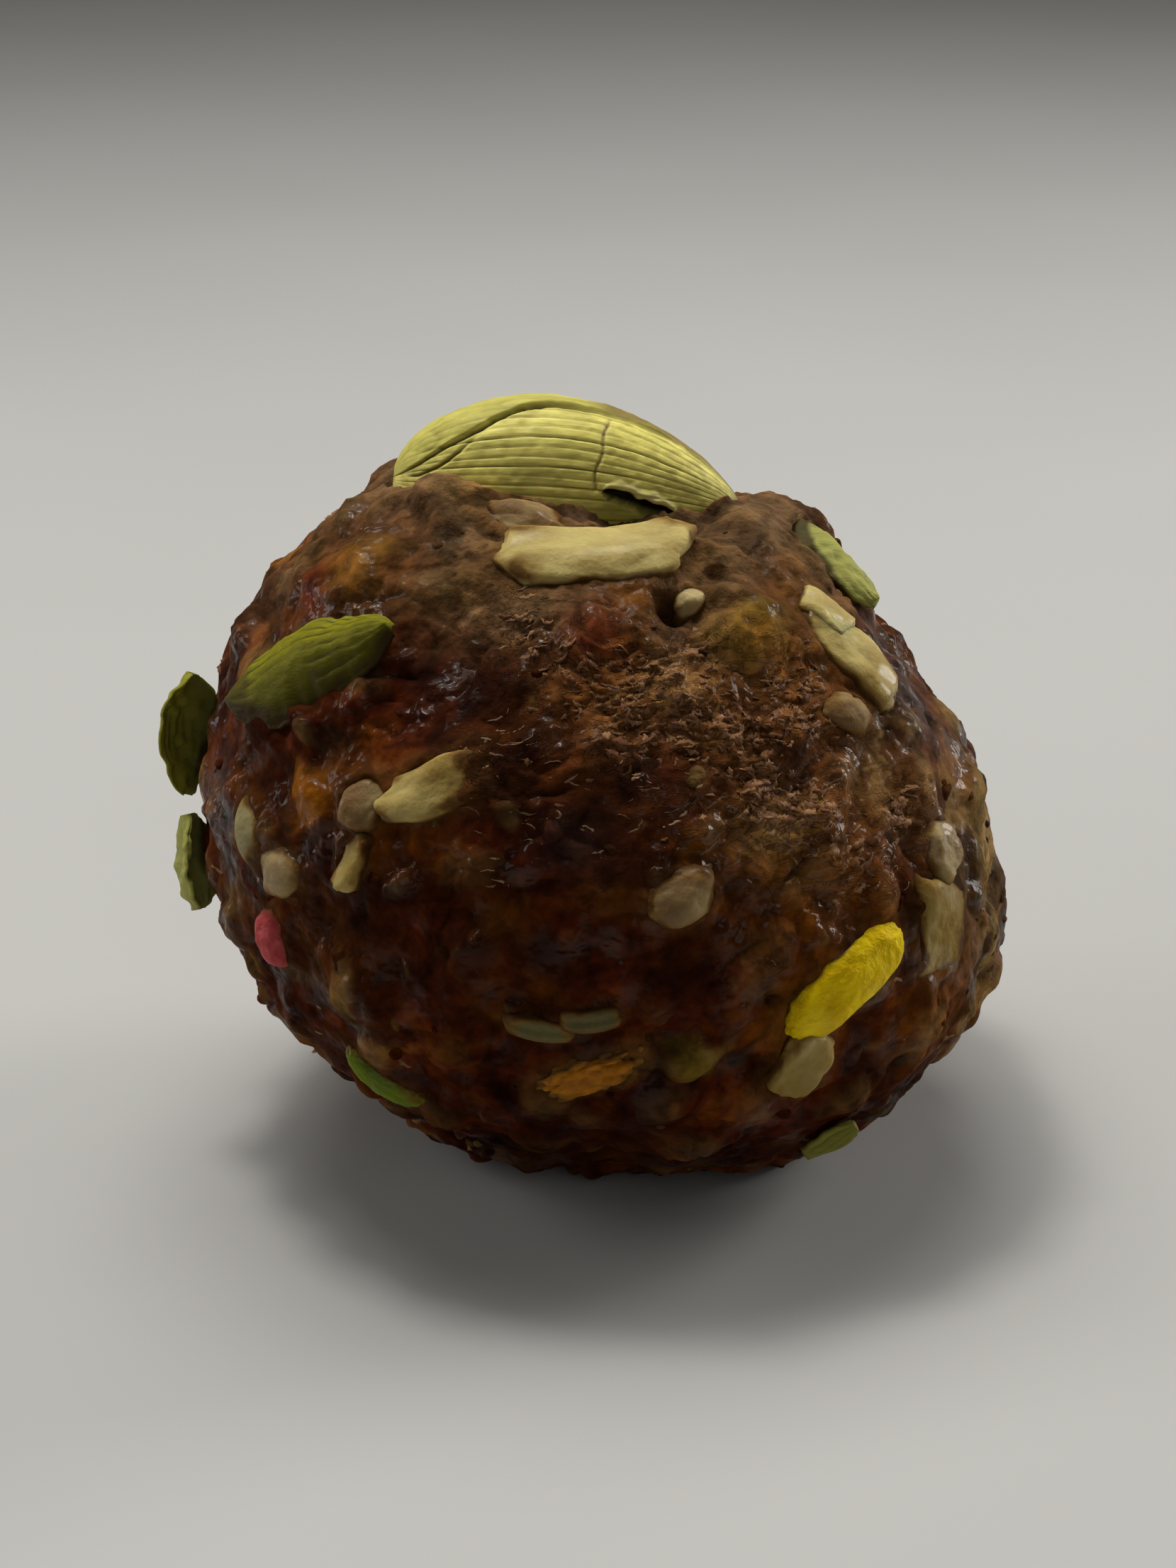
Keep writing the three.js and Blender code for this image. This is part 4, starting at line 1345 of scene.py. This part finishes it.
def make_shreds(name, rule, weight, material):
    """Short flat shreds that lie on the paste, their lower edges lifted by the rule's tilt."""
    rng = np.random.default_rng(rule["seed"])
    count = rule["count"]
    path = shred_paths(rng, rule, weight)
    places = smoothed_places(path)
    ahead = unit(np.gradient(places, axis=1))
    level_aside = unit(np.cross(ahead, path))
    level_out = np.cross(level_aside, ahead)
    tilt = rng.normal(rule["tilt"], 0.4, count)[:, None, None]
    aside = level_aside * np.cos(tilt) + level_out * np.sin(tilt)
    out = level_out * np.cos(tilt) - level_aside * np.sin(tilt)
    uneven = rng.uniform(0.55, 1.45, (count, SHRED_STEPS))
    thick = (rule["thick"] + rule["more_thick"] * rng.uniform(size=count))[:, None]
    thick = thick * np.sin(np.linspace(0.35, 2.8, SHRED_STEPS)) * uneven
    turn = np.arange(SHRED_SIDES) * 2 * math.pi / SHRED_SIDES
    ring = rule["wide"] * aside[:, :, None] * np.cos(turn)[:, None]
    ring = ring + SHRED_FLATNESS * out[:, :, None] * np.sin(turn)[:, None]
    sunk = places - SHRED_SUNK * thick[:, :, None] * path
    grid = sunk[:, :, None] + ring * thick[:, :, None, None]
    faces = tube_faces(SHRED_STEPS, SHRED_SIDES)
    tint = rng.uniform(size=count)
    gathered = Gathered()
    for index in range(count):
        gathered.add(with_ends(grid[index]), faces, tint=tint[index])
    gathered.make(name, material)


# Nodes for materials

def feed(tree, socket, value):
    """Join the socket to another node's output, or set it to a plain value."""
    if isinstance(value, bpy.types.NodeSocket):
        tree.links.new(value, socket)
    else:
        socket.default_value = value


def feed_all(tree, node, inputs):
    for name, value in inputs.items():
        feed(tree, node.inputs[name], value)


def add_node(tree, kind, inputs=None, **settings):
    """A node with its settings made and its inputs fed."""
    node = tree.nodes.new(kind)
    for name, value in settings.items():
        setattr(node, name, value)
    feed_all(tree, node, inputs or {})
    return node


def mixed(tree, share, first, second, blend="MIX"):
    node = add_node(tree, "ShaderNodeMix", data_type="RGBA", blend_type=blend)
    sockets = {socket.identifier: socket for socket in node.inputs}
    for name, value in (("Factor_Float", share), ("A_Color", first), ("B_Color", second)):
        feed(tree, sockets[name], value)
    return next(socket for socket in node.outputs if socket.identifier == "Result_Color")


def sums(tree, operation, first, second):
    node = add_node(tree, "ShaderNodeMath", operation=operation)
    feed(tree, node.inputs[0], first)
    feed(tree, node.inputs[1], second)
    return node.outputs[0]


def ranged(tree, value, low, high, to_low=0.0, to_high=1.0):
    """value from low..high to to_low..to_high, held at both ends."""
    inputs = {"Value": value, "From Min": low, "From Max": high, "To Min": to_low, "To Max": to_high}
    return add_node(tree, "ShaderNodeMapRange", inputs).outputs["Result"]


def coordinates(tree):
    return add_node(tree, "ShaderNodeTexCoord").outputs["Object"]


def stretched(tree, scale):
    inputs = {"Vector": coordinates(tree), "Scale": scale}
    return add_node(tree, "ShaderNodeMapping", inputs).outputs["Vector"]


def noise_node(tree, per_metre, detail=4.0, roughness=0.6, distortion=0.0, where=None):
    inputs = {"Scale": per_metre, "Detail": detail, "Roughness": roughness, "Distortion": distortion}
    inputs["Vector"] = where or coordinates(tree)
    return add_node(tree, "ShaderNodeTexNoise", inputs).outputs["Fac"]


def mask_node(tree, name):
    return add_node(tree, "ShaderNodeAttribute", attribute_name=name).outputs["Fac"]


def bumped(tree, height, strength, distance):
    inputs = {"Height": height, "Strength": strength, "Distance": distance}
    return add_node(tree, "ShaderNodeBump", inputs).outputs["Normal"]


def layered(tree, colour, layers):
    """colour with each mask's own colour laid over it in turn, as strongly as given."""
    for mask, strength, over in layers:
        share = ranged(tree, mask_node(tree, mask), 0.0, 1.0, 0.0, strength)
        colour = mixed(tree, share, colour, over)
    return colour


def light_depth(weight, radius, scale):
    """Shader inputs for light that goes into the food and comes out close by."""
    return {"Subsurface Weight": weight, "Subsurface Radius": radius, "Subsurface Scale": scale}


def new_material(name):
    material = bpy.data.materials.new(name)
    material.use_nodes = True
    shader = material.node_tree.nodes["Principled BSDF"]
    return material, material.node_tree, shader


# Effects that several materials share

def new_group(name, inputs, outputs):
    """A node group, the sockets of its given values, and the node that takes its results."""
    group = bpy.data.node_groups.new(name, "ShaderNodeTree")
    for socket, (kind, default) in inputs.items():
        made = group.interface.new_socket(socket, in_out="INPUT", socket_type="NodeSocket" + kind)
        made.default_value = default
    for socket, kind in outputs.items():
        group.interface.new_socket(socket, in_out="OUTPUT", socket_type="NodeSocket" + kind)
    return group, add_node(group, "NodeGroupInput").outputs, add_node(group, "NodeGroupOutput")


def put_group(tree, group, **inputs):
    return add_node(tree, "ShaderNodeGroup", inputs, node_tree=group).outputs


def sticky_film_group():
    """Patches of syrup over a surface: where it is wet, how rough it is, and its fine unevenness."""
    group, given, results = new_group(
        "Sticky film",
        {"Wetness": ("Float", 0.5), "Grain": ("Float", 2600.0)},
        {"Roughness": "Float", "Film": "Float", "Height": "Float"},
    )
    patches = noise_node(group, 420.0, detail=3.0)
    wet = sums(group, "MULTIPLY", ranged(group, patches, 0.48, 0.62), given["Wetness"])
    feed_all(group, results, {
        "Roughness": ranged(group, wet, 0.0, 1.0, 0.62, 0.2),
        "Film": wet,
        "Height": noise_node(group, given["Grain"], detail=5.0, roughness=0.5),
    })
    return group


def smeared_group():
    """A mottled colour that turns through amber to dark paste where paste is smeared on it."""
    pale = ("Color", (0.8, 0.7, 0.5, 1))
    brown = ("Color", (0.4, 0.25, 0.12, 1))
    group, given, results = new_group(
        "Smeared with paste",
        {"Pale": pale, "Brown": brown, "Mottle": ("Float", 900.0)},
        {"Color": "Color"},
    )
    mottle = noise_node(group, given["Mottle"], roughness=0.5)
    blotch = ranged(group, mottle, 0.3, 0.75, -0.4, 0.5)
    brownness = sums(group, "ADD", mask_node(group, "tint"), blotch)
    base = mixed(group, ranged(group, brownness, 0.0, 1.0), given["Pale"], given["Brown"])
    stain = ranged(group, noise_node(group, 520.0), 0.52, 0.78, -0.05, 0.3)
    smear = sums(group, "ADD", mask_node(group, "smear"), stain)
    amber = mixed(group, ranged(group, smear, 0.1, 0.7, 0.0, 0.85), base, (0.17, 0.085, 0.013, 1))
    covered = ranged(group, smear, 0.6, 1.05)
    feed_all(group, results, {"Color": mixed(group, covered, amber, (0.06, 0.022, 0.005, 1))})
    return group


def dry_skin_group():
    """A papery skin: pale ridges with painted shade darkening the grooves along it, streaks and fine
    unevenness.
    """
    group, given, results = new_group(
        "Dry ribbed skin",
        {"Ridge": ("Color", (0.5, 0.45, 0.15, 1)), "Groove": ("Color", (0.1, 0.08, 0.02, 1))},
        {"Color": "Color", "Roughness": "Float", "Height": "Float"},
    )
    streak = noise_node(group, 2600.0, detail=5.0, where=stretched(group, (0.18, 1.0, 1.0)))
    blotch = noise_node(group, 380.0, detail=3.0)
    ridge = mixed(group, ranged(group, streak, 0.4, 0.75, 0.0, 0.55), given["Ridge"], given["Groove"])
    ridge = mixed(group, ranged(group, blotch, 0.45, 0.75, 0.0, 0.4), ridge, given["Groove"])
    # Painted shade in the grooves
    groove = ranged(group, mask_node(group, "groove"), 0.15, 0.85, 0.0, 0.9)
    feed_all(group, results, {
        "Color": mixed(group, groove, ridge, given["Groove"]),
        "Roughness": ranged(group, blotch, 0.3, 0.7, 0.45, 0.68),
        "Height": streak,
    })
    return group


STICKY_FILM = sticky_film_group()
SMEARED = smeared_group()
DRY_SKIN = dry_skin_group()


# Materials

def thread_mask(tree):
    """Thin wavy lines, most of them level."""
    waves = noise_node(tree, 800.0, detail=3.0, distortion=1.2, where=stretched(tree, (1.0, 1.0, 2.4)))
    off_line = sums(tree, "ABSOLUTE", sums(tree, "SUBTRACT", waves, 0.5), 0.0)
    return ranged(tree, off_line, 0.0, 0.035, 1.0, 0.0)


def paste_colour(tree, threads):
    """Maroon to amber paste with the colours of its patches, threads and chunks, and painted shade in its
    hollows and creases.
    """
    tone = noise_node(tree, 230.0, distortion=0.6)
    maroon = (0.019, 0.0022, 0.0008, 1)
    colour = mixed(tree, ranged(tree, tone, 0.36, 0.5), maroon, (0.066, 0.0115, 0.0018, 1))
    colour = mixed(tree, ranged(tree, tone, 0.52, 0.7), colour, (0.13, 0.034, 0.002, 1))
    colour = layered(tree, colour, [
        ("fibrous", 0.8, (0.28, 0.118, 0.032, 1)),
        # The crown's lighter, greyer mauve-brown: drier paste, partly painted light from above and painted
        # sheen
        ("dry", 0.85, (0.125, 0.074, 0.034, 1)),
        ("pale", 0.9, (0.28, 0.175, 0.055, 1)),
        ("olive", 0.9, (0.18, 0.115, 0.016, 1)),
        ("amber", 1.0, (0.21, 0.068, 0.003, 1)),
        ("near", 0.5, (0.105, 0.047, 0.011, 1)),
        ("red_skin", 1.0, (0.082, 0.010, 0.003, 1)),
        # Grey skin, and at one spot grey painted as the sheen of glints
        ("grey_skin_and_sheen", 0.85, (0.098, 0.066, 0.054, 1)),
    ])
    colour = mixed(tree, ranged(tree, threads, 0.0, 1.0, 0.0, 0.5), colour, (0.17, 0.09, 0.045, 1))
    flecks = ranged(tree, noise_node(tree, 900.0, detail=5.0), 0.3, 0.7, 0.4, 1.5)
    shade = ranged(tree, mask_node(tree, "chunk"), 0.0, 1.0, 0.6, 1.4)
    colour = mixed(tree, 1.0, colour, sums(tree, "MULTIPLY", flecks, shade), blend="MULTIPLY")
    return layered(tree, colour, [
        # Darker paste, and painted shade under the brow, in the hole by the small cashew and low on the
        # front
        ("dark", 0.95, (0.012, 0.0026, 0.0012, 1)),
        # Painted shade in folds, pits and crevices
        ("painted_crease_shade", 0.9, (0.004, 0.0012, 0.0006, 1)),
    ])


def paste_material():
    material, tree, shader = new_material("date paste")
    threads = sums(tree, "MULTIPLY", mask_node(tree, "fibrous"), thread_mask(tree))
    film = put_group(tree, STICKY_FILM, Wetness=0.9, Grain=3000.0)
    wet = mask_node(tree, "wet")
    drier = ranged(tree, wet, 0.0, 1.0, 0.25, 0.0)
    shine = ranged(tree, wet, 0.0, 1.0, 0.0, 0.42)
    dryness = ranged(tree, wet, 0.0, 0.7, 0.65, 0.2)
    crumb = sums(tree, "ADD", noise_node(tree, 1150.0), film["Height"])
    soft = noise_node(tree, 800.0, detail=2.0)
    height = sums(tree, "ADD", sums(tree, "MULTIPLY", crumb, dryness), sums(tree, "ADD", soft, threads))
    feed_all(tree, shader, {
        "Base Color": paste_colour(tree, threads),
        "Roughness": sums(tree, "ADD", film["Roughness"], drier),
        "Coat Weight": sums(tree, "MULTIPLY", film["Film"], shine),
        "Coat Roughness": 0.12,
        "Coat Normal": bumped(tree, soft, 1.0, 0.0004),
        "Specular IOR Level": 0.03,
        "Specular Tint": (1.0, 0.78, 0.6, 1),
        "Normal": bumped(tree, height, 0.9, 0.0003),
        **light_depth(0.15, (1.0, 0.36, 0.12), 0.0010),
    })
    return material


def nut_material(name, pale, brown, mottle, wetness, depth, rough):
    """A chopped nut, seed or candy with paste smeared round it."""
    material, tree, shader = new_material(name)
    film = put_group(tree, STICKY_FILM, Wetness=wetness, Grain=2200.0)
    dents = noise_node(tree, 1100.0, detail=3.0)
    feed_all(tree, shader, {
        "Base Color": put_group(tree, SMEARED, Pale=pale, Brown=brown, Mottle=mottle)["Color"],
        "Roughness": film["Roughness"],
        "Coat Weight": film["Film"],
        "Coat Roughness": 0.2,
        "Specular IOR Level": 0.08,
        "Specular Tint": (1.0, 0.86, 0.66, 1),
        "Normal": bumped(tree, sums(tree, "ADD", film["Height"], dents), rough, 0.00022),
        **light_depth(depth, (1.0, 0.62, 0.3), 0.0016),
    })
    return material


def pod_material():
    material, tree, shader = new_material("pod wall")
    skin = put_group(tree, DRY_SKIN, Ridge=(0.86, 0.77, 0.18, 1), Groove=(0.17, 0.145, 0.022, 1))
    colour = layered(tree, skin["Color"], [
        ("flap", 0.75, (0.33, 0.305, 0.04, 1)),
        # Greener, and darker as painted shade under the tear
        ("below", 0.6, (0.17, 0.19, 0.02, 1)),
        ("lip", 0.7, (0.70, 0.63, 0.30, 1)),
        # Brown crack and tip, and painted shade on the back flap's edge
        ("brown", 0.8, (0.13, 0.07, 0.02, 1)),
        # Painted shade, nearly black, in the tear, the gap and the fold
        ("tear", 1.0, (0.014, 0.010, 0.004, 1)),
    ])
    feed_all(tree, shader, {
        "Base Color": colour,
        "Roughness": skin["Roughness"],
        "Specular IOR Level": 0.3,
        "Normal": bumped(tree, skin["Height"], 0.35, 0.00012),
        **light_depth(0.12, (0.9, 0.8, 0.3), 0.0006),
    })
    return material


def husk_material():
    material, tree, shader = new_material("torn husk")
    skin = put_group(tree, DRY_SKIN, Ridge=(0.225, 0.21, 0.006, 1), Groove=(0.045, 0.045, 0.002, 1))
    colour = layered(tree, skin["Color"], [
        ("edge", 0.35, (0.27, 0.25, 0.03, 1)),
        # Painted shade darkening the lower side
        ("painted_low_side_shade", 0.85, (0.045, 0.039, 0.003, 1)),
        ("paleness", 0.6, (0.42, 0.42, 0.13, 1)),
    ])
    # Smeared paste, and painted shade on the tucked husk's lower end
    smear = ranged(tree, mask_node(tree, "smear"), 0.2, 0.95, 0.0, 0.9)
    feed_all(tree, shader, {
        "Base Color": mixed(tree, smear, colour, (0.032, 0.016, 0.005, 1)),
        "Roughness": skin["Roughness"],
        "Specular IOR Level": 0.12,
        "Specular Tint": (1.0, 0.95, 0.6, 1),
        "Normal": bumped(tree, skin["Height"], 0.6, 0.00018),
        **light_depth(0.15, (0.8, 0.9, 0.3), 0.0006),
    })
    return material


def shred_material(name, dark, pale):
    material, tree, shader = new_material(name)
    mottle = noise_node(tree, 1400.0, detail=3.0)
    shade = sums(tree, "ADD", mask_node(tree, "tint"), ranged(tree, mottle, 0.3, 0.7, -0.2, 0.2))
    film = put_group(tree, STICKY_FILM, Wetness=0.8, Grain=5000.0)
    feed_all(tree, shader, {
        "Base Color": mixed(tree, ranged(tree, shade, 0.0, 1.0), dark, pale),
        "Roughness": film["Roughness"],
        "Specular IOR Level": 0.15,
        "Specular Tint": (1.0, 0.78, 0.6, 1),
        "Normal": bumped(tree, film["Height"], 0.2, 0.00005),
    })
    return material


# The ladoo: its paste, its fibres, its pod, its husks and the pieces in it

PASTE = paste_material()
DATE_SHRED = shred_material("date shred", (0.095, 0.032, 0.012, 1), (0.28, 0.145, 0.066, 1))
PALE_WISP = shred_material("pale wisp", (0.10, 0.052, 0.024, 1), (0.29, 0.20, 0.12, 1))
HUSK = husk_material()
PIECE_LOOKS = [
    ("almond", "almond_slivers", dict(
        name="almond", pale=(0.47, 0.38, 0.14, 1), brown=(0.20, 0.118, 0.016, 1),
        mottle=380.0, wetness=0.35, depth=0.4, rough=0.45)),
    ("cashew", "cashew_bits", dict(
        name="cashew", pale=(0.41, 0.325, 0.155, 1), brown=(0.16, 0.092, 0.034, 1),
        mottle=420.0, wetness=0.35, depth=0.4, rough=0.45)),
    ("melon_seed", "melon_seeds", dict(
        name="melon seed", pale=(0.27, 0.23, 0.11, 1), brown=(0.16, 0.125, 0.05, 1),
        mottle=800.0, wetness=0.2, depth=0.3, rough=0.45)),
    ("fennel_seed", "fennel_seeds", dict(
        name="fennel seed", pale=(0.14, 0.125, 0.045, 1), brown=(0.095, 0.072, 0.034, 1),
        mottle=900.0, wetness=0.1, depth=0.1, rough=0.45)),
    ("fennel_yellow", "yellow_fennel", dict(
        name="yellow candy", pale=(0.86, 0.63, 0.003, 1), brown=(0.56, 0.34, 0.001, 1),
        mottle=900.0, wetness=0.15, depth=0.2, rough=0.9)),
    ("fennel_pink", "pink_fennel", dict(
        name="pink candy", pale=(0.54, 0.11, 0.11, 1), brown=(0.34, 0.035, 0.04, 1),
        mottle=1500.0, wetness=0.2, depth=0.2, rough=0.8)),
    ("fennel_green", "green_fennel", dict(
        name="green candy", pale=(0.20, 0.29, 0.018, 1), brown=(0.075, 0.10, 0.008, 1),
        mottle=420.0, wetness=0.3, depth=0.2, rough=0.7)),
    ("flake", "toasted_flakes", dict(
        name="toasted flake", pale=(0.46, 0.17, 0.010, 1), brown=(0.16, 0.05, 0.004, 1),
        mottle=1600.0, wetness=0.2, depth=0.15, rough=0.45)),
]

make_paste(PASTE)
make_crumbs(PASTE)
make_shreds("date_shreds", SHREDS, shred_weight, DATE_SHRED)
# Pale threads, and at one spot pale strands standing in for glints, as painted highlights
make_shreds("pale_wisps", WISPS, wisp_weight, PALE_WISP)
make_pod(pod_material())
for number, husk in enumerate(HUSKS):
    make_husk(husk, number, HUSK)
for kind, name, look in PIECE_LOOKS:
    make_pieces(kind, name, nut_material(**look))


# Floor, light and camera

FLOOR_SIZE = 4
FLOOR_GREYS = ((0.44, 0.437, 0.425, 1), (0.47, 0.467, 0.455, 1))
LIT_SPOT = (0, 0, 0.02)

# Each softbox's place, size, power and colour
SOFTBOXES = {
    "overhead": ((-0.04, 0.10, 0.34), (0.28, 0.20), 0.85, (1.0, 0.98, 0.94)),
    "key": ((-0.08, 0.06, 0.40), (0.07, 0.07), 0.5, (1.0, 0.97, 0.92)),
    "left_window": ((-0.34, 0.06, 0.14), (0.14, 0.20), 0.35, (1.0, 0.98, 0.95)),
    "right_window": ((0.32, 0.16, 0.14), (0.12, 0.20), 0.8, (1.0, 0.98, 0.95)),
    "front_fill": ((0.08, -0.40, 0.26), (0.34, 0.22), 0.2, (1.0, 0.97, 0.93)),
}
WORLD_COLOUR = (1.0, 0.98, 0.95, 1)
WORLD_STRENGTH = 0.05
CAMERA_ELEVATION_DEG = 22
CAMERA_DISTANCE = 0.152
CAMERA_TARGET = Vector((-0.0008, 0, 0.0182))
CAMERA_LENS = 92
SENSOR_WIDTH = 36


def make_floor():
    bpy.ops.mesh.primitive_plane_add(size=FLOOR_SIZE, location=(0, 0, 0))
    floor = bpy.context.object
    floor.name = "floor"
    material, tree, shader = new_material("pale floor")
    cloud = ranged(tree, noise_node(tree, 9.0, detail=2.0), 0.3, 0.7)
    feed_all(tree, shader, {"Base Color": mixed(tree, cloud, *FLOOR_GREYS), "Roughness": 0.6})
    floor.data.materials.append(material)


def add_softbox(name, place, size, power, colour):
    light = bpy.data.lights.new(name, "AREA")
    light.shape = "RECTANGLE"
    light.size, light.size_y = size
    light.energy = power
    light.color = colour
    box = bpy.data.objects.new(name, light)
    box.location = place
    box.rotation_euler = (Vector(LIT_SPOT) - Vector(place)).to_track_quat("-Z", "Y").to_euler()
    bpy.context.scene.collection.objects.link(box)


def light_scene():
    for name, softbox in SOFTBOXES.items():
        add_softbox(name, *softbox)
    world = bpy.data.worlds.new("studio")
    world.use_nodes = True
    background = world.node_tree.nodes["Background"]
    feed_all(world.node_tree, background, {"Color": WORLD_COLOUR, "Strength": WORLD_STRENGTH})
    bpy.context.scene.world = world
    bpy.context.scene.view_settings.view_transform = "Standard"


def add_camera():
    elevation = math.radians(CAMERA_ELEVATION_DEG)
    data = bpy.data.cameras.new("camera")
    data.sensor_fit = "HORIZONTAL"
    data.sensor_width = SENSOR_WIDTH
    data.lens = CAMERA_LENS
    camera = bpy.data.objects.new("camera", data)
    back = Vector((0, -math.cos(elevation), math.sin(elevation)))
    camera.location = CAMERA_TARGET + back * CAMERA_DISTANCE
    camera.rotation_euler = (-back).to_track_quat("-Z", "Y").to_euler()
    bpy.context.scene.collection.objects.link(camera)
    bpy.context.scene.camera = camera


make_floor()
light_scene()
add_camera()
